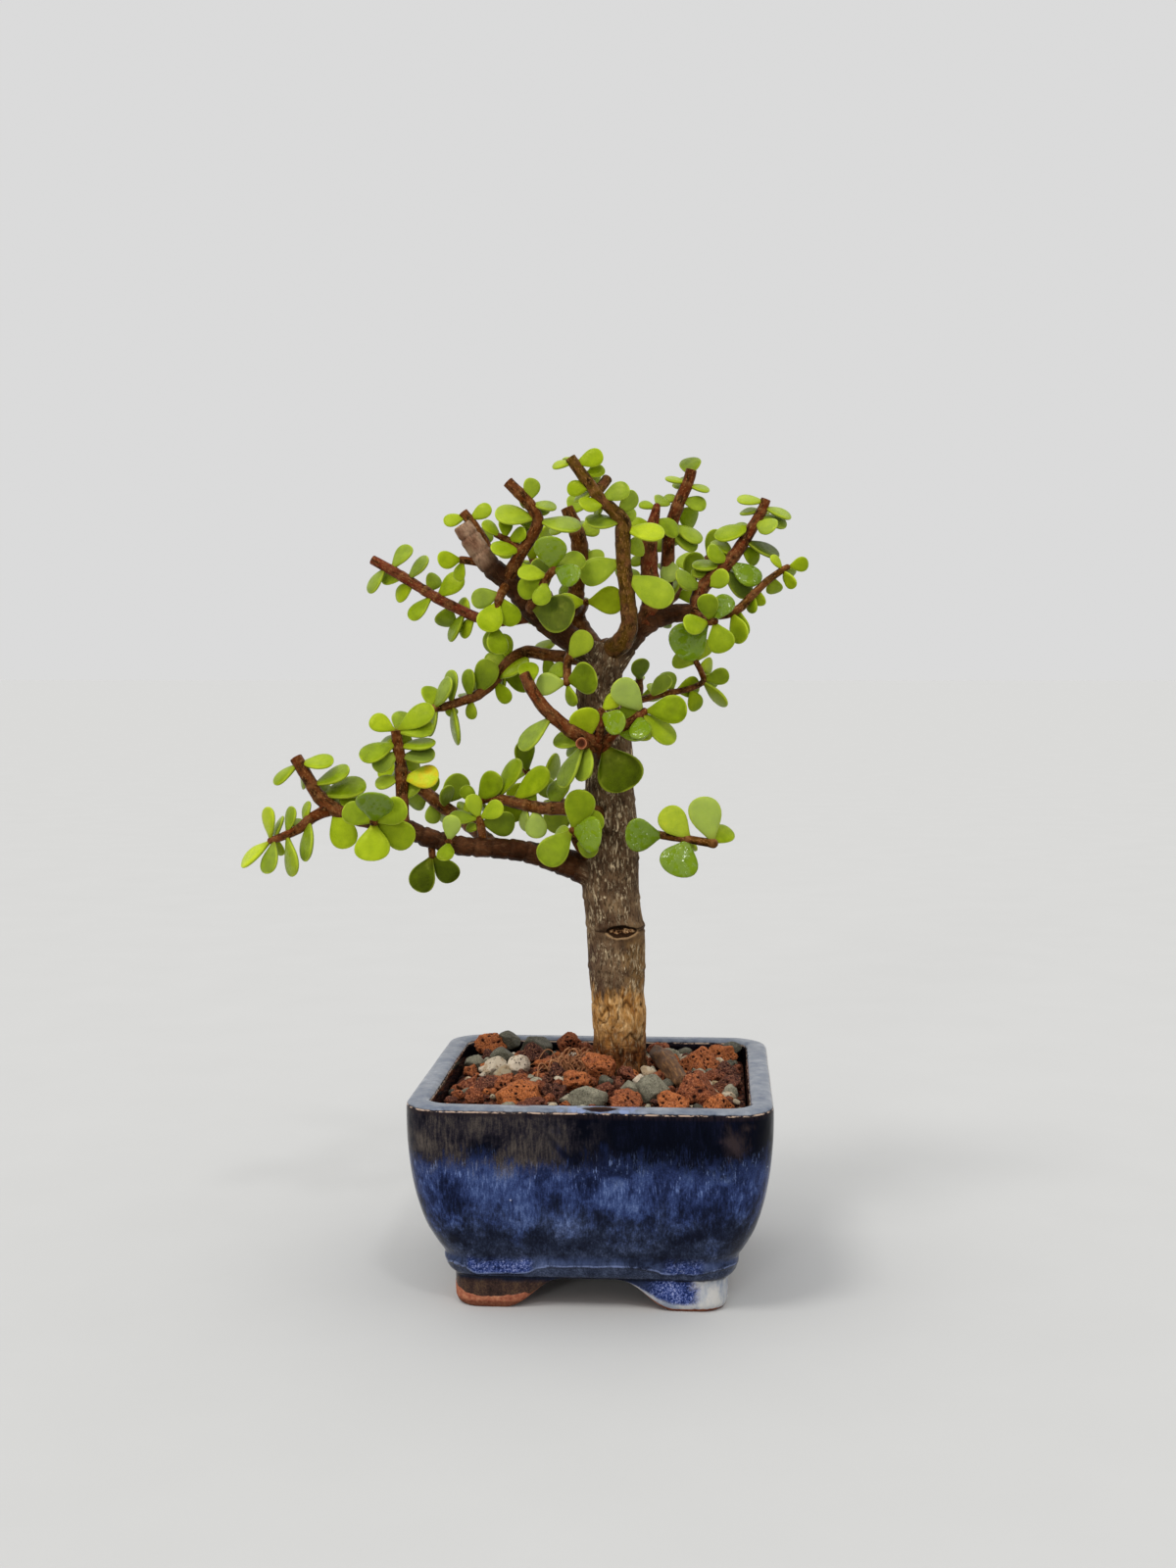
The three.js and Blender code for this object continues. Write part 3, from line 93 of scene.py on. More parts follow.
# Leafy stems by spray, each spray headed by the tone of its bark: 0 olive brown, 0.5 red brown, 1 maroon.
# A stem is "stations; leaves; rules". Its leaves are place along the stations, angle, lean towards the
# front, length, twist and, if not WIDTH, width. Marks may follow: y yellow, r ripe, d dark, p pale, w wet.
# Its rules are those of ruled_leaves.
SPRAYS, STEM_TONES = read_sprays("""
low_left_tip 0.65:
-62 -12 131.2 2.2, -70.5 -12 133 2.2, -75.4 -12 135.4 2.1, -79.6 -11 138.8 2, -82.5 -11 143.7 1.9,
-86.2 -10 149.5 1.9;
4.75 6 10 10.5 -58, 4.75 214 5 9.5 65, 3.6 27 0 12 -62, 2.9 20 -15 14 -48, 1.9 -66 20 12.5 15,
1.3 75 -30 9 20; shaded 1.2 1 10
/ -76.4 -12 135 1.7, -81.3 -12 132.5 1.6, -85.2 -12 129.3 1.4, -90.3 -11 126.9 1.2, -94 -10 125.6 1;
1.6 85 -10 7 -50, 1.2 -92 25 12.5 48, 2.7 80 0 8.5 -50, 2.7 -78 5 12.5 55, 3.95 97 5 10 -52 0.68 y,
3.6 88 -25 8 -55, 3.6 -101 25 10.5 45, 4 217 0 11.5 58 0.68 y; shaded 2.2 1.2 8

low_left_front 0.5:
-60.5 -11.5 130.9 1.7, -62 -17 131.5 1.4, -61.8 -21 132.3 1.1;
1.5 -90 25 11.5 0 0.88, 1.2 -25 20 12.5 8, 1.7 27 20 11.5 -12, 1.2 155 5 10 20, 2 78 45 12 0 0.9 w

low_left_riser 0.6:
-55.5 -10.8 130.1 2.1, -55.9 -8 137.6 1.9, -56.3 -7 145.4 1.9, -57.1 -7 152.3 1.7, -57.8 -7 157.2 1.5;
0.9 60 -15 8 -25, 1.75 8 0 11.5 -40 0.68 r, 1.8 193 10 8 45, 2.1 192 -25 8.5 50, 2.85 218 25 9 15,
2.6 6 5 10.5 -50, 3.05 12 -5 11 -60, 3.6 -12 -30 7 -40, 3.3 201 10 12 50, 3.8 205 -10 12.5 60,
4 153 0 8.5 20, 4 33 0 13 -22 0.55, 3.9 12 10 11 -48, 4 75 -35 9 0; shaded 1.3 0.9 9.5

low_left_spur_front 0.5:
-41.5 -6.8 124.8 1.2, -41.6 -10 125.2 1.1, -41.8 -13 126 1;
1.9 78 10 8 5 0.68 p, 1.9 -95 55 7.5 0

low_left_spur_under 0.5:
-47.5 -8.6 126.4 1.2, -47.4 -8.2 123.5 1.1, -47.3 -8 121.4 1;
1.9 246 5 11.5 12 0.68 d, 1.9 -38 -15 10.5 5 0.68 d

low_inner 0.5:
-33 -3.8 123.6 1.4, -33.6 -3.4 128 1.3, -34.3 -3 131.8 1.1;
2 32 15 8.5 -30, 2 172 15 9 55, 1.7 -5 -10 11 10, 1.9 118 0 8 30, 1.3 200 10 6 30

back_low 0.5:
-29.6 -2.5 123.2 2.2, -39.2 9 129.2 2.2, -48.1 14 134.4 2.1, -54.8 17 139.4 2, -59.1 18 142.9 1.9;
2 50 0 11.5 15, 1.8 78 12 9 60, 2.3 -95 0 7.5 20, 3.9 100 -40 9 0, 4 165 -10 9 30; shaded 1.2 0.7 10.5

second_left 0.5:
2.5 6 132 2.6, -3 -1 134 2.3, -10 -1.5 134.8 2.1, -17.1 1 134.7 1.9, -25.5 4 136.2 1.7, -31.7 6 137.1 1.4,
-36 6.5 136 1.1;
4 44 12 15 -28 0.5, 4.7 64 0 13.5 -45 0.6, 6 52 5 11 -20, 6 140 0 6.5 20, 5.8 178 8 8 45, 4.6 -45 -10 9 15,
3.5 -97 -5 8 50 0.68 p, 3.15 -88 25 9.5 5 0.68 p; shaded 2.4 0.7 10

trunk_front_low 0.5:
-2 7 119 1.8, -5.6 -2.5 124.5 1.5, -7 -7 129 1.2;
2 -6 40 11 0 0.95 w, 1.9 74 15 13 12, 1.9 60 0 13 -18, 2 227 15 13 8, 1.5 -40 0 8 0, 1.8 190 -15 9 35

right_low 0.3:
3 8 127.5 1.6, 11.5 2 128.3 1.3, 18.5 -3 127.3 1.2, 26 -5 126.4 1.2, 33.5 -6 125.3 1.3;
2.05 180 20 11.5 0 0.85 w, 3.1 132 5 12 8 0.68 y, 3.95 105 -5 14 8 0.68 p, 3 -112 30 12 0 0.95 w;
shaded 2.3 0.8 9

front_centre 0.7:
2 4 150 2.6, -0.7 -4 153.7 2.3, -5.4 -8 156.3 2.2, -10.2 -9 159.8 2, -14.6 -9 163.7 1.9, -18.2 -8 168.6 1.8,
-20.8 -7 173.5 1.7;
3.5 221 5 13.5 55 0.6, 1.4 100 30 10.5 0 0.85 y, 5.3 100 -35 9 10
/ 1 -2 152.5 1.9, 5.4 -7 157.2 1.5, 10.4 -8 160.5 1.3, 13.6 -8 163 1.2;
0.15 -61 12 15 0 0.9 d, 3 6 15 12.5 -12 0.66, 2.9 130 10 12 8 0.68 p, 2.8 -42 5 12.5 -42,
2.5 -82 25 9.5 0 0.68 w, 1 -4 20 9.5 -45 0.68 yw, 2.7 182 -25 8 20
/ 0 -5 154.5 1.5, 1 -7 159 1.4, 1.3 -7.5 163 1.2;
1.8 -28 20 10.5 0 0.68 yw, 2 42 -5 7 -10 0.68 y
/ -1 -3 153 1.9, -3.2 -7 153.8 1.8, -4.1 -11.5 154 1.8;
1.2 168 5 10 30, 1.2 198 -20 9 40, 1.3 238 0 14.5 62 0.6, 0.9 -95 15 11.5 40, 0.5 -100 -5 10 55

fork_front 0.5:
-6.4 5 182 1.6, -8.7 0 177.6 1.4, -8.8 -3 173.5 1.2, -8.7 -5 170.8 1;
1 50 10 10 12 0.68 y, 2.7 10 35 10.5 0 0.9, 2.9 185 10 10 15 0.68 p, 2.2 152 -20 9 20, 3 -75 -5 7 40

mid_left 0.5:
0.5 9 177 2.2, -7 12 178 2, -15.4 15 179 1.9, -22.8 17 180 1.9, -28 17 177 1.8, -32 15.5 171.5 1.7,
-36.9 14 167.3 1.6, -41 13 165.6 1.4, -46.8 12 163.8 1.3, -50.5 12 163.2 1.1;
6.6 92 5 9 -35, 6 66 10 11.5 -15, 6.5 -90 -5 6.5 35, 7.55 -88 0 12.5 62, 7.6 93 0 10.5 -50,
8.8 58 0 11.5 -50, 8.5 250 0 9 55, 8.7 214 15 9 45, 8 -40 0 6 30, 5 -58 10 8 25, 4.6 -18 -15 11 10,
4.9 32 15 12 -55, 4.2 250 0 9 55, 3.9 110 -10 9 40, 9 100 -30 8.5 20, 2.2 -75 10 8 30; shaded 2.3 0.9 10

left_reach 0.9:
-17.5 2.5 190.5 1.8, -28.2 10 189.3 1.7, -35.8 14 189.9 1.6, -42.3 16 192.5 1.6, -49.6 17 196.2 1.6,
-58.1 18 201.4 1.6, -63.4 19 204.5 1.6, -69.3 20 207.7 1.5;
6.05 53 0 9.5 -45, 6.3 229 0 9.5 50, 5.05 50 10 9.5 -45, 4.8 213 -25 8.5 25, 4 41 0 10.5 -25,
4.15 226 10 10 50, 2.8 238 0 10 55, 2.3 226 -20 8 35; shaded 1.6 0.9 9

left_stub_side 0.6:
-31.5 -1.2 205 1.3, -36 -1.8 205.8 1.2, -39.5 -2 206.3 1.1;
1.9 182 40 8 8, 1.9 65 -20 5.5 0, 1.8 250 -10 6.5 30

left_stub_back 0.55:
-31 -1 204.5 1.8, -33 2.5 211 1.6, -36.2 4 216 1.5, -39.6 4 220.3 1.5;
2.7 192 15 7 30, 2.5 32 5 7.5 -20, 2.1 -38 10 7 -55, 1.6 80 -60 9 0

upper_left 0.6:
-26.5 0 200.5 2.3, -24.3 -2.5 204 2, -22.2 -3 207.8 1.8, -19.2 -3 212.3 1.8, -17.2 -3 216.8 1.8,
-18.7 -3 220.7 1.7, -22.2 -3 224.7 1.7, -25.7 -3 228.2 1.7;
4.2 170 8 12.5 45, 4.1 -7 10 13 -52, 5.4 77 -10 7.5 15, 5.3 -3 0 8 -58, 4.4 55 -30 6 0, 2.2 172 10 9.5 45;
shaded 2.6 0.9 9.5
/ -21.5 -3 208.5 1.2, -25.5 -2 211.5 1.1, -29.5 -1 213.5 0.9;
1.6 148 5 7 50, 2 195 0 7.5 45, 1.1 35 15 7.5 -30, 1.3 100 -20 7 20, 2 120 -15 7 40

left_front 0.5:
-26 0.3 200 1.5, -27.5 -4.5 196.5 1.3, -28.8 -7 191.5 1.1, -29.3 -7.5 187.5 1;
1 193 15 9 12, 1.4 -112 20 11 8, 1.2 -62 10 9.5 -20, 2.9 -78 20 9.5 -25, 2.9 -100 0 10 15

centre_rosette 0.5:
-19.2 2 192 1.6, -19.2 -4 193 1.4, -16 -8 198 1.3, -11.8 -11 203.2 1.1;
2.9 93 30 10.5 0 0.9 yw, 2.6 170 0 9 35, 2.5 204 10 10 12, 3 -25 40 10 0 0.68 w, 2.4 -100 25 8 0,
2.9 25 -10 10 -25, 0.95 -17 15 13.5 0 0.85 d

front_upright 0.12:
2.1 7 180 3.4, 6.5 0 182.5 3.2, 9 -4 187.5 2.6, 8.6 -6 195 2.3, 7.5 -6 205.6 2.2, 7.3 -6 212.6 2.3,
7.3 -6 216.5 2.3, 4.4 -7 219.8 1.9, 1 -8 222.8 1.8, -1.4 -8 226.2 1.7, -4.4 -8 230 1.7, -7.4 -8 234.3 1.6;
5.4 -6 10 12 -38 0.62 y, 6 177 5 11 50, 3.6 -28 14 16 -20 0.58, 4 200 10 13.5 18 0.6, 8 22 10 9 -28,
6.6 48 5 8.5 40, 8.6 190 -30 7.5 45, 7.6 186 15 8.5 35, 9 205 0 8.5 18, 10.6 18 5 8.5 -25,
9.7 32 -15 6.5 -20, 10.7 183 -10 6.5 60; shaded 3.3 1.1 10
/ -0.4 -8 224.6 1.5, 1.5 -6 226.8 1.5, 2.8 -4.5 228.8 1.5;

back_middle 0.5:
-0.5 8.5 180 2.8, -6.6 14 188.4 2.6, -7.7 15 196.6 2.5, -6.6 15 205.9 2.6, -6.6 14 212 2.5,
-8.1 14 217.1 2.2, -10.2 14 222.2 2;
3.2 12 0 7.5 -25, 5.2 195 -15 8 40, 4.6 20 -30 8 0; shaded 1.4 0.7 11
/ -7 14 190.5 1.4, -5 8 192.5 1.2, -3.7 2 194.2 1;
2 3 10 11 0 0.75 y, 2 180 5 9 20 0.68 y

second_upright 0.85:
12.9 8 187.8 3, 14.7 8 193.3 2.9, 14.4 8 200.4 2.7, 14.2 8 206.5 2.6, 14.2 8 212.6 2.4, 15.7 8 218.7 1.6,
16.4 8 222.2 1;
4.6 168 5 7 35, 5.8 160 -10 5.5 45, 3 182 -15 6 40; shaded 1.6 1.1 9

right_upper 0.7:
18.9 9 190.6 2.2, 19.1 13 198.6 2, 19.4 15 206.9 2, 19.9 16 215.2 2, 22.1 17 222.5 1.9, 25.2 18 229.8 1.8,
26.2 18 233.5 1.7;
5 165 0 7 62, 4.9 -13 0 7 -62, 4.3 170 -20 6 50, 4.3 -13 20 8 -35, 3.3 -25 0 10.5 -50, 2.9 -22 5 9.5 -50,
4 152 5 10 45, 2.1 -80 35 9 0 0.68 p; shaded 1.5 0.8 10

right_crown 0.75:
27.9 10 191.3 2.2, 28.9 12 197.5 2.1, 33 14 202.2 2.1, 37.1 16 205.9 2, 41.2 18 211.7 1.9, 44.4 19 217 1.7,
47 20 221.7 1.5, 48.2 20 224.9 1.5;
6.8 172 5 8.5 55, 6.3 -18 0 9 -60, 6 180 -20 7 55, 5.5 160 -14 6.5 45, 5.6 -12 -10 9 -50, 5.2 -18 35 9 -20,
5 192 10 12 48, 4.9 178 -15 10 50, 4.2 -21 0 11.5 -55 0.68 d, 3.9 -40 -25 8 -30, 3.4 140 0 9 50,
3.1 150 10 9 45, 2.9 167 15 10.5 60, 3.1 -33 20 11.5 -30 0.68 w, 2.6 -42 0 11.5 -45 0.68 d,
1.4 20 30 8.5 -15, 2.1 158 10 8 45, 1.2 152 15 10.5 40, 2 135 50 9 0; shaded 1.5 0.8 10

right_outer 0.35:
28.5 10 191.4 1.6, 35 8 190.7 1.5, 40.1 8 192.3 1.3, 44.2 9 196.4 1.2, 48.3 10 200.3 1.1, 52.4 11 203.4 1,
54.4 11 204.6 0.9;
5.2 125 10 5.5 50, 5.2 -58 10 6.5 50, 6 12 -10 6.5 0, 5.8 -47 5 7.5 12, 3.1 -100 -10 6 40, 2 -82 0 8.5 35,
1.6 -72 -15 11 35; shaded 2.4 1 8

right_front 0.5:
26.5 9.8 191.3 1.4, 29.5 4 190 1.2, 31.5 0 188.5 1.1, 33.5 -2 188.5 1;
2 222 15 13.5 0 0.85 w, 2.1 190 45 9.5 25, 2.8 -72 10 9.5 5 0.85, 2.3 97 30 9 0, 2.8 62 15 9 -10 0.68 w

right_back 0.5:
2.5 9.5 162.5 1.6, 11.2 20 165.7 1.1, 19.4 24 167.7 1, 25.6 26 169 0.9, 29.8 27 171.1 0.9, 29.3 27 174 0.9,
27.7 27 177.1 0.9;
4.2 12 0 8 0 0.65, 4 -47 0 10.5 55, 6 60 -10 8 10, 5.9 170 -15 8 20, 1.3 50 0 9 -40, 2.2 110 -30 8 20;
shaded 1.5 0.8 9

back_high 0.5:
-13 3 187 2, -14 15 192 1.8, -18 24 199 1.6, -21 31 206 1.4, -24 36 212 1.2;; paired 1.1 0.72 11 20

back_right 0.5:
14 8 188.6 2, 17 20 193 1.8, 22 29 198 1.6, 27 36 203 1.4, 31 41 209 1.2;; paired 1.1 0.72 11 65

back_centre 0.5:
2 9 150 1.9, 5 21 154 1.7, 8 30 160 1.5, 10 37 167 1.3, 10 41 174 1.1;; paired 1.2 0.8 11 0

back_low_left 0.5:
2 9 129 1.9, -6 20 131.5 1.7, -14 28 135 1.5, -21 34 140 1.3, -27 37 146 1.1;; paired 1.2 0.78 11.5 40""")

# Where a leaf feels what is near it: shares of its length and of its half width.
FEELERS = np.array(rows("""
0.35 0, 0.65 0, 0.97 0, 0.42 0.6, 0.42 -0.6, 0.68 0.9, 0.68 -0.9, 0.9 0.6, 0.9 -0.6"""))
# How a leaf may dodge, tried in turn: degrees turned, degrees leaned and share of its length.
DODGES = rows("""
0 0 1, 0 13 1, 0 -13 1, 10 0 1, -10 0 1, 0 26 1, 0 -26 1, 12 16 0.92, -12 16 0.92, 12 -16 0.92, -12 -16 0.92,
0 38 0.92, 0 -38 0.92, 20 0 0.85, -20 0 0.85, 0 0 0.75, 24 24 0.8, -24 24 0.8, 24 -24 0.8, -24 -24 0.8,
34 0 0.75, -34 0 0.75""")
WIDTH = 0.68  # a blade's width as a share of its length, where a leaf doesn't say


# ---------------------------------------------------------------- the rule that places the leaves

BLADE_ARCH = 0.06  # how far a tip bends back, as a share of its blade's length
MOST_LEAN = 75  # degrees
# Room that a leaf's feelers keep from the leaves of other sprays and of its own, and from the middle of
# wood and stems beyond their radius.
CLEAR_OF_LEAVES = 2.8
CLEAR_WITHIN_SPRAY = 1.9
CLEAR_OF_WOOD = 1.6
CLEAR_OF_SISTER_STEM = 0.4


def unit(v):
    return v / np.linalg.norm(v)


def draws_from(seed, skip=3):
    """A repeatable run of numbers from 0 to 1, past the first few."""
    state = seed
    while True:
        state = (state * 1664525 + 1013904223) % 2**32
        if skip <= 0:
            yield state / 2**32
        skip -= 1


def on_route(route, place):
    """The point at a place of a smooth curve through a route's stations, and its direction there."""
    points = [np.array(station[:3], float) for station in route]
    spans = len(points) - 1
    i = min(max(int(math.floor(place)), 0), spans - 1)
    w = place - i
    before = points[i - 1] if i > 0 else 2 * points[0] - points[1]
    after = points[i + 2] if i + 2 <= spans else 2 * points[-1] - points[-2]
    start, end = points[i], points[i + 1]
    m0, m1 = (end - before) / 2, (after - start) / 2
    c2 = 3 * (end - start) - 2 * m0 - m1
    c3 = 2 * (start - end) + m0 + m1
    return start + w * (m0 + w * (c2 + w * c3)), m0 + w * (2 * c2 + 3 * w * c3)


def wished_leaf(stem, place, angle, lean, length, twist, width=WIDTH, marks=""):
    return {"base": on_route(stem["route"], min(place, len(stem["route"]) - 1))[0], "angle": angle,
            "lean": lean, "length": length, "twist": twist, "width": width, "marks": marks}


def make_leaf(wish, turned, leaned, share):
    """A leaf as wished for but for a dodge: its directions, measures and feelers."""
    angle = math.radians(wish["angle"] + turned)
    lean = math.radians(min(max(wish["lean"] + leaned, -MOST_LEAN), MOST_LEAN))
    d = unit(np.array([math.cos(angle) * math.cos(lean), -math.sin(lean), math.sin(angle) * math.cos(lean)]))
    facing, twist = unit(FRONT - d * FRONT.dot(d)), math.radians(wish["twist"])
    normal = facing * math.cos(twist) + np.cross(d, facing) * math.sin(twist)
    side, length = np.cross(d, normal), wish["length"] * share
    half = length * wish["width"] / 2
    along, across = FEELERS.T[..., None]
    feelers = (wish["base"] + d * length * along + side * half * across
               - normal * (BLADE_ARCH * length * along**2))
    return {"wish": wish, "d": d, "normal": normal, "side": side, "length": length, "half": half,
            "feelers": feelers}


def ruled_leaves(stem, seed):
    """Leaves on the far side of a stem ("shaded": first place, step, length) and crossed pairs along it
    ("paired": the same, and the first pair's roll)."""
    draw = draws_from(seed, 0)
    route = stem["route"]
    place, step, size = stem.get("shaded", (math.inf, 1, 0))
    while place <= len(route) - 1:
        angle, lean = 360 * next(draw), -35 - 30 * next(draw)
        length, twist = size * (0.85 + 0.25 * next(draw)), 50 * (next(draw) - 0.5)
        yield wished_leaf(stem, place, angle, lean, length, twist)
        place += step
    place, step, size, roll = stem.get("paired", (math.inf, 1, 0, 0))
    while place <= len(route) - 1:
        ahead = on_route(route, min(place + 0.1, len(route) - 1))[0]
        along = unit(ahead - on_route(route, place - 0.1)[0])
        across = unit(np.cross(along, UP))
        above = np.cross(across, along)
        for half_turn in (0, 180):
            turn = math.radians(roll + half_turn + 24 * (next(draw) - 0.5))
            spread = math.radians(50 + 20 * next(draw))
            sideways = across * math.cos(turn) + above * math.sin(turn)
            out = along * math.cos(spread) + sideways * math.sin(spread)
            yield wished_leaf(stem, place, math.degrees(math.atan2(out[2], out[0])),
                              math.degrees(math.asin(-out[1])), size * (0.8 + 0.3 * next(draw)),
                              110 * (next(draw) - 0.5))
        roll += 90
        place += step


def spine_of(route):
    places = np.arange(0, len(route) - 1 + 1e-9, 0.25)
    radii = np.interp(places, range(len(route)), [station[3] for station in route])
    return np.array([on_route(route, place)[0] for place in places]), radii


def grow_leaves():
    """Every leaf by spray, the listed ones first, each leaned clear of what is in its way."""
    stems = [(name, stem) for name, stems in SPRAYS.items() for stem in stems]
    spines = [(None, None, *spine_of(route)) for route in WOOD]
    spines += [(name, stem, *spine_of(stem["route"])) for name, stem in stems]
    wishes = [(name, stem, [wished_leaf(stem, *leaf) for leaf in stem["leaves"]]) for name, stem in stems]
    wishes += [(name, stem, ruled_leaves(stem, i)) for i, (name, stem) in enumerate(stems, 1)]
    grown = {name: [] for name in SPRAYS}
    for name, stem, leaves in wishes:
        solid = [(points, radii + (CLEAR_OF_SISTER_STEM if other == name else CLEAR_OF_WOOD))
                 for other, owner, points, radii in spines if owner is not stem]
        points, rooms = map(np.concatenate, zip(*solid))
        for wish in leaves:
            others = [(leaf["feelers"], CLEAR_WITHIN_SPRAY if other == name else CLEAR_OF_LEAVES)
                      for other, spray in grown.items() for leaf in spray]
            reach = np.array([feelers for feelers, _ in others]).reshape(-1, 3)
            clear = np.repeat([room for _, room in others], len(FEELERS))
            for dodge in DODGES:
                leaf = make_leaf(wish, *dodge)
                apart = (np.linalg.norm(leaf["feelers"][:, None] - them, axis=2) for them in (points, reach))
                if (next(apart) >= rooms).all() and (next(apart) >= clear).all():
                    grown[name].append(leaf)
                    break
    return grown


# ---------------------------------------------------------------- pieces

def add_piece(name, points, faces, material, slot, nodes, **channels):
    """A smooth mesh piece from pot-frame millimetres, with a colour per point for each channel."""
    mesh = bpy.data.meshes.new(name)
    mesh.from_pydata((np.asarray(points) * MM + SHIFT).tolist(), [], faces)
    mesh.polygons.foreach_set("use_smooth", np.ones(len(mesh.polygons), bool))
    for channel, colors in channels.items():
        attribute = mesh.color_attributes.new(name=channel, type="FLOAT_COLOR", domain="POINT")
        attribute.data.foreach_set("color", np.asarray(colors, np.float32).ravel())
    mesh.materials.append(material)
    mesh.update()
    piece = bpy.data.objects.new(name, mesh)
    bpy.context.scene.collection.objects.link(piece)
    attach(piece, "root")
    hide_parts(*nodes)


def skin_faces(rings, sides, closed=False):
    """Quads over rings of points that follow each other, each ring a closed loop."""
    faces = []
    for ring in range(rings if closed else rings - 1):
        a, b = ring * sides, (ring + 1) % rings * sides
        faces += [(a + i, a + (i + 1) % sides, b + (i + 1) % sides, b + i) for i in range(sides)]
    return faces


def flat_ended(rings, sides):
    """Faces that close on a flat face at either end."""
    last = (rings - 1) * sides
    return skin_faces(rings, sides) + [tuple(reversed(range(sides))), tuple(range(last, last + sides))]


def point_ended(rings, sides):
    """Faces that close on a point at either end; the two points come after the rings."""
    ends, last = rings * sides, (rings - 1) * sides
    return (skin_faces(rings, sides) + [(ends, (i + 1) % sides, i) for i in range(sides)]
            + [(ends + 1, last + i, last + (i + 1) % sides) for i in range(sides)])


def joined(parts):
    """Many (points, faces, channels...) as one."""
    faces, start = [], 0
    for points, corners, *_ in parts:
        faces += [tuple(start + corner for corner in face) for face in corners]
        start += len(points)
    points, _, *channels = zip(*parts)
    return np.concatenate(points), faces, *map(np.concatenate, channels)


def round_turn(sides):
    return 2 * np.pi * np.arange(sides) / sides


FINE_STEPS = 24  # between two stations, to measure a route's length by


class Course:
    """A route at even steps: points, directions, radii and the station that each lies at."""

    def __init__(self, route, step):
        places = np.linspace(0, len(route) - 1, FINE_STEPS * (len(route) - 1) + 1)
        fine = np.array([on_route(route, p)[0] for p in places])
        reach = np.concatenate([[0], np.cumsum(np.linalg.norm(np.diff(fine, axis=0), axis=1))])
        self.length = reach[-1]
        self.at = np.linspace(0, self.length, max(int(self.length / step), 4) + 1)
        stations = np.interp(self.at, reach, places)
        self.points = np.array([np.interp(self.at, reach, fine[:, axis]) for axis in range(3)]).T
        along = np.array([on_route(route, p)[1] for p in stations])
        self.along = along / np.linalg.norm(along, axis=1)[:, None]
        self.radii = np.interp(stations, range(len(route)), [station[3] for station in route])
        self.reach_of = lambda place: np.interp(place, places, reach)

    def frames(self):
        """Two directions across the course at each step, carried along without turning."""
        start = np.cross(self.along[0], FRONT)
        across = start if np.linalg.norm(start) > 0.1 else np.cross(self.along[0], UP)
        for along in self.along:
            across = unit(across - along * across.dot(along))
            yield across, np.cross(along, across)

    def rings(self, radii, sides):
        """Rings of points round the course, radii being one number a ring or one a point."""
        cos, sin = np.cos(round_turn(sides))[:, None], np.sin(round_turn(sides))[:, None]
        return np.array([centre + np.broadcast_to(radius, sides)[:, None] * (cos * across + sin * beside)
                         for centre, (across, beside), radius in zip(self.points, self.frames(), radii)])


def bell(distance, width):
    return np.exp(-((distance / width) ** 2))


def smooth_step(value, low, high):
    t = np.clip((value - low) / (high - low), 0, 1)
    return t * t * (3 - 2 * t)


def noise_at(points, size, offset=0.0):
    """Smooth noise from -1 to 1 at each point, with features of about `size` (one number or three)."""
    return np.array([noise.noise(Vector(p)) for p in (points / size + offset).tolist()])


# ---------------------------------------------------------------- materials

def linear(code):
    """An sRGB colour such as "8fb52e" as linear RGBA."""
    parts = [int(code[i:i + 2], 16) / 255 for i in (0, 2, 4)]
    return (*[c / 12.92 if c <= 0.04045 else ((c + 0.055) / 1.055) ** 2.4 for c in parts], 1)


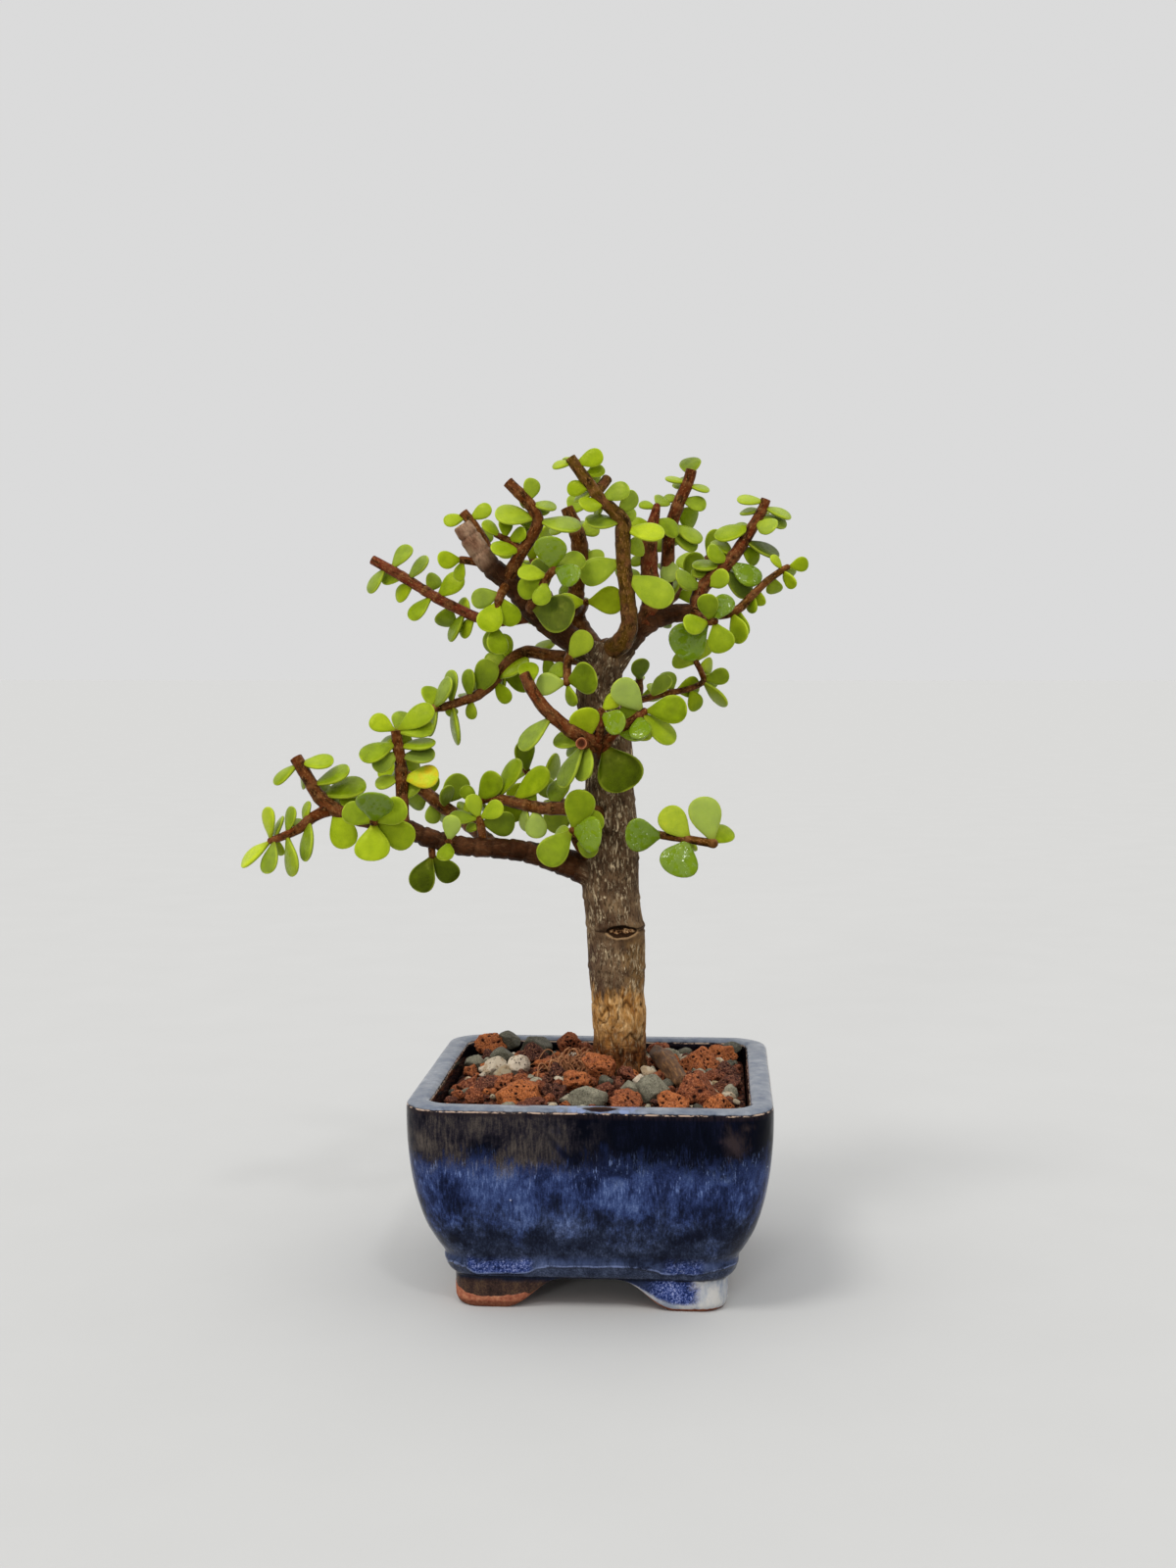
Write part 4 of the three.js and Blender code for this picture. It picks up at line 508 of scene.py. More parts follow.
class Shading:
    """A Principled material, with short ways to write the nodes that lead to it."""

    def __init__(self, name, along=None, **sockets):
        """`along` is the attribute that holds the piece laid straight, where its grain follows it."""
        self.material = bpy.data.materials.new(name)
        self.material.use_nodes = True
        self.tree = self.material.node_tree
        self.shader = self.tree.nodes["Principled BSDF"]
        self.fill(self.shader, sockets)
        self.coords = self.node("TexCoord").outputs["Object"]
        if along:
            self.grain = self.node("Attribute", attribute_name=along).outputs["Vector"]
        else:
            self.grain = self.coords

    def fill(self, node, values):
        for key, value in values.items():
            socket = node.inputs[key.replace("_", " ") if isinstance(key, str) else key]
            if isinstance(value, bpy.types.NodeSocket):
                self.tree.links.new(value, socket)
            else:
                socket.default_value = linear(value) if isinstance(value, str) else value

    def finish(self, color, roughness, normal, **more):
        self.fill(self.shader, {"Base Color": color, "Roughness": roughness, "Normal": normal, **more})
        return self.material

    def node(self, kind, values=None, **settings):
        node = self.tree.nodes.new("ShaderNode" + kind)
        for key, value in settings.items():
            setattr(node, key, value)
        self.fill(node, values or {})
        return node

    def stretched(self, size, stretch, offset=(0, 0, 0)):
        """Coordinates in which a pattern of `size` millimetres is one unit, drawn out by `stretch`."""
        scale = [1 / (size * MM * share) for share in stretch]
        return self.node("Mapping", {"Vector": self.grain, "Scale": scale, "Location": offset}).outputs[0]

    def noise(self, size, detail=3, rough=0.55, stretch=(1, 1, 1), warp=0, offset=(0, 0, 0)):
        values = {"Vector": self.stretched(size, stretch, offset), "Scale": 1, "Detail": detail,
                  "Roughness": rough, "Distortion": warp}
        return self.node("TexNoise", values).outputs["Fac"]

    def cells(self, size, output="Distance"):
        values = {"Vector": self.stretched(size, (1, 1, 1)), "Scale": 1}
        return self.node("TexVoronoi", values).outputs[output]

    def step(self, value, low, high, start=0.0, end=1.0):
        """Runs smoothly from start to end while the value runs from low to high."""
        values = {0: value, 1: low, 2: high, 3: start, 4: end}
        return self.node("MapRange", values, interpolation_type="SMOOTHSTEP").outputs[0]

    def between(self, value, low, full, full_to, high):
        return self.times(self.step(value, low, full), self.step(value, high, full_to))

    def math(self, operation, *operands):
        return self.node("Math", dict(enumerate(operands)), operation=operation).outputs[0]

    def times(self, *factors):
        return functools.reduce(lambda a, b: self.math("MULTIPLY", a, b), factors)

    def plus(self, *terms):
        return functools.reduce(lambda a, b: self.math("ADD", a, b), terms)

    def size_of(self, value):
        return self.math("ABSOLUTE", value)

    def off(self, noise, depth):
        """A noise that swings about nought by up to half of `depth`."""
        return self.times(self.math("SUBTRACT", noise, 0.5), depth)

    def mix(self, share, a, b):
        return self.node("Mix", {0: share, 6: a, 7: b}, data_type="RGBA").outputs[2]

    def coats(self, base, *layers):
        """Colours laid over a base one by one: (colour, the factors of its share...)."""
        for color, *shares in layers:
            base = self.mix(self.times(*shares), base, color)
        return base

    def ramp(self, value, codes, *positions):
        """Colours that lie at positions of a value, and run into each other between them."""
        node = self.node("ValToRGB", {0: value})
        elements = node.color_ramp.elements
        while len(elements) < len(positions):
            elements.new(0.5)
        for element, position, code in zip(elements, positions, codes.split()):
            element.position, element.color = position, linear(code)
        return node.outputs["Color"]

    def channels(self, name):
        """The four numbers of a piece's colour attribute."""
        attribute = self.node("Attribute", attribute_name=name)
        parts = self.node("SeparateColor", {0: attribute.outputs["Color"]})
        return (*parts.outputs, attribute.outputs["Alpha"])

    def place(self):
        """The point's X, Y and Z in the object's frame, in millimetres from the pot's axis."""
        values = {"Vector": self.coords, "Scale": (1 / MM,) * 3, "Location": tuple(-SHIFT / MM)}
        return self.node("SeparateXYZ", {0: self.node("Mapping", values).outputs[0]}).outputs

    def bump(self, height, depth, below=None):
        """Relief of `depth` millimetres, on top of what `below` gives."""
        values = {"Height": height, "Strength": 1.0, "Distance": depth * MM}
        return self.node("Bump", values | ({"Normal": below} if below else {})).outputs[0]


# ---------------------------------------------------------------- leaves

# Sections of a blade, as shares of its length, and points round each section.
SECTIONS = np.array([0, 0.05, 0.12, 0.2, 0.3, 0.41, 0.52, 0.62, 0.71, 0.79, 0.86, 0.92, 0.963, 0.99])
ROUND = 14
WIDEST = 0.66
KEPT_INSIDE = 0.985  # blades end a little short of the length that the rule gives


def quarter_wave(value, full):
    return np.sin(np.pi / 2 * np.clip(value / full, 0, 1))


def blade_points(leaf, draw):
    """A fleshy blade, cupped, bent and turned a little by chance, and its colour channels."""
    length, half, base = leaf["length"] * KEPT_INSIDE, leaf["half"], leaf["wish"]["base"]
    cup = (next(draw) - 0.25) * 0.16 * half
    bend = (next(draw) - 0.5) * 0.07 * length
    lift = (next(draw) - 0.6) * 0.05 * length
    skew = math.radians(24 * (next(draw) - 0.5))
    lopsided = 0.08 * (next(draw) - 0.5)
    turn = round_turn(ROUND)
    across = np.sign(np.cos(turn)) * np.abs(np.cos(turn)) ** 0.85
    rise, sink = np.maximum(np.sin(turn), 0) ** 0.8, np.maximum(-np.sin(turn), 0) ** 0.9
    s = SECTIONS[:, None]
    widening = 0.12 + 0.88 * quarter_wave(s, WIDEST) ** 1.5
    narrowing = np.sqrt(1 - np.clip((s - WIDEST) / (1 - WIDEST), 0, 1) ** 2.4)
    width = np.where(s < WIDEST, widening, narrowing)
    full = (0.5 + 0.5 * quarter_wave(s, 0.5)) * np.sqrt(1 - np.clip((s - 0.55) / 0.45, 0, 1) ** 3)
    full *= np.clip((length / 11) ** 0.6, 0.75, 1.15)
    x = half * width * (1 + lopsided * np.sign(across)) * across
    z = full * (0.62 * rise - 1.2 * sink) + cup * across**2 * width**2
    angle, arch = skew * s, lift - BLADE_ARCH * leaf["length"]
    sideways = x * np.cos(angle) - z * np.sin(angle) + bend * s**2
    above = x * np.sin(angle) + z * np.cos(angle) + arch * s**2
    points = (base + leaf["d"] * (length * s)[..., None] + leaf["side"] * sideways[..., None]
              + leaf["normal"] * above[..., None])
    ends = [base - leaf["d"] * 0.1, base + leaf["d"] * length + leaf["side"] * bend + leaf["normal"] * arch]
    rim = np.maximum(np.abs(across) ** 2, np.clip((s - 0.86) / 0.13, 0, 1))
    where = np.stack(np.broadcast_arrays(s, rim, 0.5 + 0.5 * np.sin(turn), next(draw)), axis=-1)
    shade = where[0, 0, 3]
    return (np.concatenate([points.reshape(-1, 3), ends]),
            np.concatenate([where.reshape(-1, 4), [[0, 0, 0.5, shade], [1, 1, 0.5, shade]]]))


def leaf_mood(wish, draw):
    """Tone from dark to yellow, paleness, wetness and a number of its own."""
    marks = wish["marks"]
    tone = 0.48 + 0.28 * (next(draw) - 0.5) + (0.08 if wish["length"] < 9 else 0)
    tone = 0.7 + 0.1 * next(draw) if set(marks) & {"y", "r"} else 0.12 if "d" in marks else tone
    tone = 0.93 if "r" in marks else tone
    pale = 0.85 if "p" in marks else 0.35 * next(draw) ** 2
    return [tone, pale, float("w" in marks), next(draw)]


def add_leaves(material):
    faces = [face[::-1] for face in point_ended(len(SECTIONS), ROUND)]
    for number, (name, grown) in enumerate(grow_leaves().items()):
        blades = []
        for i, leaf in enumerate(grown):
            draw = draws_from(977 * number + 31 * i + 5)
            points, where = blade_points(leaf, draw)
            blades.append((points, faces, where, [leaf_mood(leaf["wish"], draw)] * len(points)))
        if blades:
            points, corners, where, mood = joined(blades)
            add_piece(f"leaves_{name}", points, corners, material, "leaf", [f"spray_{name}"], where=where,
                      mood=mood)


def leaf_material():
    s = Shading("leaf", Subsurface_Weight=0.1, Subsurface_Radius=(0.8, 1.0, 0.1), Subsurface_Scale=0.001,
                Specular_IOR_Level=0.24, Specular_Tint=(1, 1, 0.15, 1), Coat_Roughness=0.1, Coat_IOR=1.52)
    along, rim, upper, shade = s.channels("where")
    tone, pale, wet, _ = s.channels("mood")
    tone = s.plus(tone, s.off(s.noise(3.5, detail=2), 0.4))
    green = s.ramp(tone, "303c02 566804 7e930b 9aac15 b6c41f d8b015", 0.05, 0.3, 0.5, 0.7, 0.88, 1.0)
    # fine dark speckling, paler flesh below and at the rim, and a brown stalk
    green = s.coats(green, ("5c6f10", s.step(s.noise(0.35, detail=2, rough=0.6), 0.5, 0.68), 0.2))
    green = s.coats(
        green, (s.coats(green, ("8ea03a", 0.4)), s.step(upper, 0.5, 0.2)), ("a4b663", pale, 0.6),
        ("bfce3c", s.step(rim, 0.72, 1.0), 0.5), ("6a6a0c", s.step(along, 0.3, 0.05), 0.5),
        ("5a3412", s.step(along, 0.1, 0.0), 0.8), ("3c4a06", shade, 0.18), ("567408", wet, 0.7))
    # a film of water and drops
    film = s.times(wet, s.step(s.noise(3.2, detail=2), 0.42, 0.5))
    drops = s.times(wet, s.step(s.cells(1.9), 0.42, 0.15))
    ripples = s.times(wet, s.noise(3.6, detail=2, rough=0.4), 1.6)
    normal = s.bump(s.noise(2.6, detail=1), 0.14, s.bump(s.noise(0.28, detail=2), 0.02))
    water = s.bump(s.plus(s.times(film, 0.5), s.times(drops, 0.6), ripples), 0.6, normal)
    gloss = s.step(s.noise(1.4, detail=3, rough=0.65), 0.35, 0.6, 0.26, 0.42)
    return s.finish(green, gloss, normal, Coat_Normal=water,
                    Coat_Weight=s.times(s.math("MAXIMUM", film, drops), 0.75))


# ---------------------------------------------------------------- stems

STEM_ROUND = 16
STEM_SHARE = 0.98  # of the radius at each station
STEM_STEP = 0.6  # between sections
NODE_SPACING = 5.2
FIRST_NODE, NODE_GAP = 1.5, 2.2  # least distance of a ring from the stem's foot, and from the last
STEMS_APART = 50  # between stems laid straight, so that no two share their grain
YOUNG, OLD = 1.1, 2.5  # radii between which the bark ages
CUT_FROM = 1.35  # a stem that ends thicker than this was cut; a thinner one ends in a bud
# The rings that close a tip: share of the radius, distance past the end in radii, and how far into a cut.
CUT_TIP = np.array([[0.97, 0.07, 0.15], [0.86, 0.1, 0.5], [0.72, 0.04, 0.75], [0.4, 0, 1]])
BUD_TIP = np.array([[0.93, 0.25, 0], [0.75, 0.5, 0], [0.45, 0.72, 0], [0.2, 0.82, 0]])


def node_reaches(course, leaf_places):
    """Where a stem has rings: at its leaves, and between them where they are far apart."""
    kept = []
    for mark in sorted(float(course.reach_of(place)) for place in leaf_places):
        if mark > FIRST_NODE and (not kept or mark - kept[-1] > NODE_GAP):
            kept.append(mark)
    ends = [0, *kept, course.length]
    for low, high in zip(ends, ends[1:]):
        gaps = int(round((high - low) / NODE_SPACING))
        kept += [low + (high - low) * i / gaps for i in range(1, gaps)]
    return sorted(kept)


def stem_skin(stem, seed):
    """A ringed stem with a collar where it leaves the wood: points, faces, colours, and its place if it
    were laid straight, so that its grain runs along it."""
    draw = draws_from(seed)
    course = Course(stem["route"], STEM_STEP)
    at = course.at
    swell, ring = np.zeros((2, len(at)))
    for node in node_reaches(course, [leaf[0] for leaf in stem["leaves"]]):
        strength = 0.15 + 0.85 * next(draw)
        swell += strength * (0.1 * bell(at - node, 0.9) - 0.045 * bell(at - node - 1.2, 0.45))
        ring = np.maximum(ring, strength * bell(at - node, 0.4))
    swell += 0.22 * bell(at, 2.0)
    grain = np.array([[noise.noise(Vector(point * 0.35) + Vector((seed, side * 0.9, 0)))
                       for side in range(STEM_ROUND)] for point in course.points])
    radii = course.radii[:, None] * STEM_SHARE * (1 + swell[:, None] + 0.07 * grain)
    rings = course.rings(radii, STEM_ROUND)
    end, ahead, last = course.points[-1], course.along[-1], course.radii[-1]
    tip = CUT_TIP if stem["route"][-1][3] > CUT_FROM else BUD_TIP
    caps = [end + (rings[-1] - end) * share + ahead * (last * past) for share, past, _ in tip]
    ends = [course.points[0], end + ahead * last * tip[-1, 1]]
    points = np.concatenate([rings.reshape(-1, 3), *caps, ends])
    # for each ring: how old its bark is, whether it is a node's, how far into a cut, radius and reach
    old = np.clip((course.radii - YOUNG) / (OLD - YOUNG), 0, 1)
    known = np.column_stack([old, ring, old * 0, course.radii, at + STEMS_APART * seed])
    closing = [[old[-1], 0, deep, last * share, course.length + i * 0.1 + STEMS_APART * seed]
               for i, (share, _, deep) in enumerate(tip)]
    values = np.repeat(np.concatenate([known, closing]), STEM_ROUND, axis=0)
    values = np.concatenate([values, values[[0, -STEM_ROUND]]])
    turn = np.append(np.tile(round_turn(STEM_ROUND), len(rings) + len(tip)), [0, 0])
    own = np.full(len(values), next(draw))
    colors, (radius, reach) = np.column_stack([values[:, :3], own]), values[:, 3:].T
    straight = np.column_stack([radius * np.cos(turn), radius * np.sin(turn), reach, own * 0])
    return points, point_ended(len(rings) + len(tip), STEM_ROUND), colors, straight * MM


def add_stems(material):
    for number, (name, stems) in enumerate(SPRAYS.items()):
        points, faces, tint, grain = joined([stem_skin(stem, 5 * number + i)
                                             for i, stem in enumerate(stems, 1)])
        add_piece(f"stems_{name}", points, faces, material, "bark", [f"spray_{name}"], tint=tint,
                  tone=[(STEM_TONES[name], 0, 0, 1)] * len(points), grain=grain)


def stem_material():
    s = Shading("young_bark", along="grain", Specular_IOR_Level=0.09, Specular_Tint=(1, 0.7, 0.25, 1))
    old, ring, cut, _ = s.channels("tint")
    streak, patch = s.noise(1.5, detail=3, rough=0.5, stretch=(1, 1, 2.6)), s.noise(3, detail=3)
    bark = s.coats(
        s.ramp(s.channels("tone")[0], "4e3c08 50300a 54280c 641f17", 0.0, 0.3, 0.6, 1.0),
        ("120401", s.step(streak, 0.42, 0.64), 0.9), ("7d4a2e", s.step(patch, 0.46, 0.66), 0.45),
        ("b5834e", s.step(s.noise(0.45, detail=3, rough=0.7, stretch=(1, 1, 1.8)), 0.54, 0.64), 0.4),
        ("553a20", old, s.step(patch, 0.3, 0.6), 0.35), ("8a6238", ring, 0.45))
    pith = s.coats(s.ramp(cut, "b07a55 8a4a30 36170e", 0.4, 0.6, 0.95),
                   ("4a2414", s.step(s.noise(0.5, detail=3), 0.5, 0.7)))
    bark = s.coats(bark, (pith, s.step(cut, 0.15, 0.45)))
    normal = s.bump(s.noise(0.3, detail=2), 0.03, s.bump(streak, 0.14))
    return s.finish(bark, s.step(streak, 0.3, 0.8, 0.28, 0.55), normal)


# ---------------------------------------------------------------- trunk and limbs

WOOD_ROUND = 36
WOOD_STEP = 0.8  # between sections
TRUNK_Y = 8  # the front of the trunk is before this
VOXEL = 0.5  # of the skin that joins trunk and limbs
CRACKS = [76.5, 62.5, 68.5]  # heights of the rings round the foot of the trunk
CREASES = [86.5, 99, 107, 118.5, 127, 136, 146, 157]  # and of those above, which are softer
# The scar of a lost limb: the middle, half width and half height of its slit.
SCAR_X, SCAR_Z, SCAR_HALF, SCAR_TALL = 6.6, 99, 4.3, 1.75
CUT_LIMB = 2  # the limb that ends in a thick sawn stub
CHUNK = 4000  # points of the skin that are measured at a time
LIMBS_APART = 300  # between limbs laid straight, so that no two share their grain


def read_out(items, key):
    values = np.empty(len(items) * 3)
    items.foreach_get(key, values)
    return values.reshape(-1, 3)


def joined_skin(courses):
    """One skin over overlapping limbs: its points, their normals and its faces."""
    tubes = [course.rings(course.radii, WOOD_ROUND) for course in courses]
    points, faces = joined([(rings.reshape(-1, 3), flat_ended(len(rings), WOOD_ROUND)) for rings in tubes])
    mesh = bpy.data.meshes.new("limbs")
    mesh.from_pydata((points * MM).tolist(), [], faces)
    limbs = bpy.data.objects.new("limbs", mesh)
    bpy.context.scene.collection.objects.link(limbs)
    remesh = limbs.modifiers.new("join", "REMESH")
    remesh.mode, remesh.voxel_size = "VOXEL", VOXEL * MM
    relax = limbs.modifiers.new("relax", "SMOOTH")
    relax.factor, relax.iterations = 0.5, 6
    depsgraph = bpy.context.evaluated_depsgraph_get()
    whole = bpy.data.meshes.new_from_object(limbs.evaluated_get(depsgraph))
    skin = (read_out(whole.vertices, "co") / MM, read_out(whole.vertices, "normal"),
            [tuple(face.vertices) for face in whole.polygons])
    bpy.data.objects.remove(limbs)
    bpy.data.meshes.remove(mesh)
    bpy.data.meshes.remove(whole)
    return skin


def straightened(skin, courses):
    """For each point: its limb, how far along it lies, and its place if the limb were laid straight."""
    spots, radii, at, frames, limb = (np.concatenate(part) for part in zip(*[
        (course.points, course.radii, course.at, list(course.frames()), np.full(len(course.at), i))
        for i, course in enumerate(courses)]))
    near = np.concatenate([np.argmin(np.linalg.norm(part[:, None] - spots, axis=2) - radii, axis=1)
                           for part in np.split(skin, range(CHUNK, len(skin), CHUNK))])
    out, across, beside = skin - spots[near], frames[near, 0], frames[near, 1]
    x, y, ahead = (np.einsum("ij,ij->i", out, way) for way in (across, beside, np.cross(across, beside)))
    return limb[near], at[near] + ahead, np.stack([x, y, at[near] + ahead + LIMBS_APART * limb[near]], axis=1)


def add_wood(material):
    courses = [Course(route, WOOD_STEP) for route in WOOD]
    skin, normals, faces = joined_skin(courses)
    limb, at, straight = straightened(skin, courses)
    x, y, z = skin.T
    trunk = (limb == 0).astype(float)
    golden = trunk * smooth_step(z, 89, 73) * (1 - 0.4 * smooth_step(z, 64, 57))
    # bark: long low lumps, and fissures where a drawn-out noise passes through nought
    lumps = noise_at(straight, np.array([6, 6, 14]))
    warped = straight + 0.9 * noise_at(straight, 4.0, 2.0)[:, None]
    cracks = np.clip(1 - np.abs(noise_at(warped, np.array([2.4, 2.4, 7.5]), 7.3)) * 7, 0, 1) ** 2
    fine = noise_at(straight, np.array([0.9, 0.9, 3.2]), 3.1)
    swollen = noise_at(straight, np.array([2.8, 2.8, 4.5]), 4.4)
    relief = 0.16 * lumps - (0.1 + 0.5 * golden) * cracks + 0.05 * fine + 0.3 * golden * swollen
    ragged = noise_at(skin, 4.0, 11.0)
    dents = np.zeros(len(skin))
    for height in CRACKS:
        dents += trunk * bell(z - height - 0.9 * ragged, 0.45) * (0.1 + 0.2 * smooth_step(ragged, -0.1, 0.2))
    for height in CREASES:
        off = z - height - 0.5 * ragged
        relief += trunk * (0.22 * bell(off - 0.9, 1.0) - 0.2 * bell(off, 0.5))
    for i, course in enumerate(courses[1:], 1):
        for reach in node_reaches(course, []):
            off = at - reach - 0.3 * ragged
            relief += (limb == i) * (0.16 * bell(off, 0.8) - 0.12 * bell(off - 1.2, 0.45))
            dents += (limb == i) * 0.3 * bell(off - 1.2, 0.4) * (0.6 + 0.4 * ragged)
    # the scar of a lost limb on the front: a slit with torn wood in it, between two lips
    u = (x - SCAR_X - 0.4 * ragged) / SCAR_HALF
    v = (z - SCAR_Z - 0.25 * ragged) / SCAR_TALL
    front = trunk * (y < TRUNK_Y)
    inside = front * smooth_step(u * u + v * v, 1.0, 0.55)
    relief += 0.6 * front * bell(np.sqrt(u * u + v * v) - 1.25, 0.35)
    relief += inside * (np.maximum(noise_at(skin, 0.7, 5.0), 0) - 0.9)
    crease = front * bell(z - SCAR_Z - 0.5 * ragged, 0.4) * smooth_step(np.abs(u), 2.6, 1.2)
    relief -= 0.3 * crease
    # the stub is sawn off, and its bark is paler towards the cut
    left = at - courses[CUT_LIMB].length
    sawn, stub = ((limb == CUT_LIMB) * smooth_step(left, *span) for span in ((-0.5, 0), (-17, -8)))
    # how dark the bark is painted in its cracks, ring dents and creases: partly its own dark, partly painted
    # shade
    depth = np.clip(cracks * (0.35 + 1.1 * golden) + 1.6 * dents + 0.5 * crease, 0, 1)
    # the trunk's bark runs out over the roots of the limbs
    collar = np.where(limb == 0, 1, 1 - smooth_step(at + 1.5 * ragged, 6, 12))
    add_piece("tree_wood", skin + normals * (relief - dents)[:, None], faces, material, "bark", ["wood"],
              bark=np.stack([collar, depth, sawn, golden + stub], axis=1),
              grain=np.column_stack([straight, np.zeros(len(skin))]) * MM)


def wood_material():
    s = Shading("old_bark", along="grain", Specular_IOR_Level=0.1, Specular_Tint=(1, 0.8, 0.5, 1))
    x, y, z = s.place()
    trunk, depth, sawn, golden = s.channels("bark")
    patch, uneven = s.noise(6, detail=3), s.noise(3, detail=3)
    high = s.ramp(patch, "38281b 56412e 765c42", 0.3, 0.5, 0.72)
    # under the scar it is darker to the left and yellower to the right
    brown = s.coats(
        s.ramp(patch, "483426 664f3a 8c7254", 0.3, 0.5, 0.7), (high, s.step(z, 104, 124)),
        ("43302a", s.step(x, 6, 0), s.step(z, 97, 92), 0.5),
        ("8b693c", s.step(s.plus(x, s.off(uneven, 12)), 6, 11), s.step(z, 104, 92), 0.55))
    gold = s.ramp(s.noise(2.6, detail=5, rough=0.6, stretch=(1, 1, 1.8), warp=0.8),
                  "855425 ab7b42 c69860 e2bd8a", 0.34, 0.45, 0.55, 0.67)
    foot = s.ramp(s.noise(1.3, detail=4, rough=0.65, stretch=(1, 1, 2.4)), "2a1105 532a11 7c4c25",
                  0.34, 0.48, 0.64)
    wrinkles = s.step(s.noise(1.2, detail=4, rough=0.6, stretch=(3, 3, 0.5), warp=0.4), 0.52, 0.6)
    gold = s.coats(gold, (foot, s.step(s.plus(z, s.off(uneven, 12)), 71, 63)),
                   ("241004", wrinkles, s.step(z, 70, 64), 0.6))
    edge = s.plus(golden, s.off(s.noise(1.3, detail=3, stretch=(1, 1, 4)), 1.5))
    limbs = s.coats(s.ramp(patch, "1f0c04 381b0b 5c371f", 0.3, 0.5, 0.7),
                    (s.ramp(patch, "7c5842 b09176", 0.35, 0.65), golden))
    skin = s.coats(limbs, (s.coats(brown, (gold, s.step(edge, 0.3, 0.75))), trunk))

    # the scar: a slit with torn wood in it, a painted shadow along its upper edge and a pale lower lip, in
    # smooth bark
    wave = s.off(uneven, 1.2)
    u = s.times(s.plus(x, -SCAR_X, wave), 1 / SCAR_HALF)
    aside = s.size_of(u)
    front = s.times(trunk, s.step(y, TRUNK_Y, TRUNK_Y - 2))

    def slit(lower=0.0):
        """Squared distance from the slit's middle, 1 at its edge, with the slit moved down."""
        v = s.times(s.plus(z, lower - SCAR_Z, wave), 1 / SCAR_TALL)
        return s.plus(s.times(u, u), s.times(v, v))

    def fade(value, low, high):
        return s.step(value, 0, 1, low, high)

    calm = s.times(front, s.step(slit(0.8), 5, 2))
    # pale flecks that run up the trunk in waves, darker pores between them, and the cracks, partly painted
    # shade
    thick = s.step(s.noise(5, detail=2, offset=(3, 1, 2)), 0.42, 0.58)
    flecks = s.step(s.noise(0.8, detail=5, rough=0.68, stretch=(1, 1, 3.6), warp=0.9), 0.5, 0.6)
    pores = s.step(s.noise(0.7, detail=4, rough=0.7, stretch=(1, 1, 2.6), offset=(9, 4, 1)), 0.5, 0.62)
    torn = s.ramp(s.noise(1.1, detail=3, rough=0.6, warp=0.5), "1d0f08 805837 d6b182", 0.43, 0.52, 0.67)
    across = s.plus(z, 0.1 - SCAR_Z, s.off(uneven, 1.6))
    crumbs = s.times(s.step(across, -0.75, -0.35), s.step(aside, 0.95, 0.75))
    # a fine crease runs on past both ends of the slit, painted dark as shade in it
    beyond = s.size_of(s.plus(z, -0.2 - SCAR_Z, s.off(uneven, 3), s.times(u, -0.25)))
    # inside the slit: dark, partly painted shade, with torn crumbs and a painted shadow along its upper edge
    within = s.coats("2b190d", (torn, crumbs), ("1c0f08", s.step(slit(0.8), 0.85, 1.0)))
    skin = s.coats(
        skin, (s.mix(trunk, "7a563a", "cbb592"), flecks, fade(thick, 0.15, 0.95), fade(trunk, 0.35, 1.0),
               fade(golden, 1.0, 0.3), fade(calm, 1.0, 0.15)),
        ("26170b", pores, fade(trunk, 0.4, 0.75), fade(golden, 1.0, 0.4), fade(calm, 1.0, 0.4)),
        # painted shade in the cracks, ring dents and creases, partly the bark's own dark
        (s.mix(golden, "20100a", "331604"), depth, 0.8, s.step(sawn, 0.9, 0.4)),
        ("a3835e", front, s.step(slit(0.5), 1.3, 1.0), s.step(slit(), 1.0, 1.2), 0.7),
        # the crease past the slit's ends, painted dark as shade in it
        ("25160d", front, s.step(beyond, 0.5, 0.1), s.step(aside, 1.9, 1.5), s.step(aside, 0.8, 1.0), 0.7),
        # the slit's inside, with its painted shade and painted shadow
        (within, front, s.step(slit(), 1.1, 0.95)), (torn, sawn))
    grain = s.noise(0.6, detail=5, rough=0.7, stretch=(1, 1, 2.6), warp=0.5)
    return s.finish(skin, fade(trunk, 0.36, 0.75), s.bump(flecks, 0.12, s.bump(grain, 0.25)))


# ---------------------------------------------------------------- pot

# [z, half width, corner radius] of the outside, foot to rim, and of the cavity, floor to mouth
OUTSIDE = np.array(rows("""
0 36.3 6.6, 0.5 36.9 6.9, 1.3 37.45 7.3, 2.2 37.75 7.6, 5 37.9 8, 8.3 37.9 8, 8.8 38.1 8.2, 9.3 38.8 8.6,
10 39.5 9, 11 40.1 9.3, 12 40.45 9.5, 13 40.8 9.7, 13.6 40.85 9.8, 14.4 40.75 9.9, 15.4 41.15 10,
17.4 42.3 10.1, 19.8 43.55 10.2, 23.4 45.25 10.4, 28.4 46.85 10.6, 35 48.35 10.8, 43.2 49.45 11,
51.4 49.95 11, 55 50 11, 56.6 50 11, 57.4 49.85 10.9, 58.1 49.4 10.7, 58.45 48.8 10.4, 58.52 48.2 10"""))
INSIDE = np.array(rows("""
15 33.8 4, 20 37.4 5, 29 40.4 5.5, 43.2 42.7 6, 51.4 43.2 6, 55.8 43.25 6, 57.2 43.5 6.2, 58.1 44.1 6.8,
58.5 44.9 7.5"""))
RECESS, RECESS_CORNER, RECESS_TOP = 29, 4, 9.6
ARCH = np.array([(23, 0), (16.5, 1), (13.5, 8.6), (7, 8.6)])  # half of a foot arch, as a Bezier curve
DRAIN, FLOOR_TOP = 6, 15  # the drain hole's radius, and the height of the floor
FOOT, FOOT_CORNER = 37.4, 7  # the outline that the arches are cut into
BAND_FOOT = 9.4  # the arches are drawn below this height
WALL_WAVER, RIM_WAVER = 0.35, 0.22  # the most that a hand-made wall and rim dip
SIDE_POINTS = 20  # over the straight middle of half a side
CORNER_POINTS = 12  # from there to the middle of a corner
STRAIGHT = 24  # half of that straight middle
RING = 8 * (SIDE_POINTS + CORNER_POINTS)
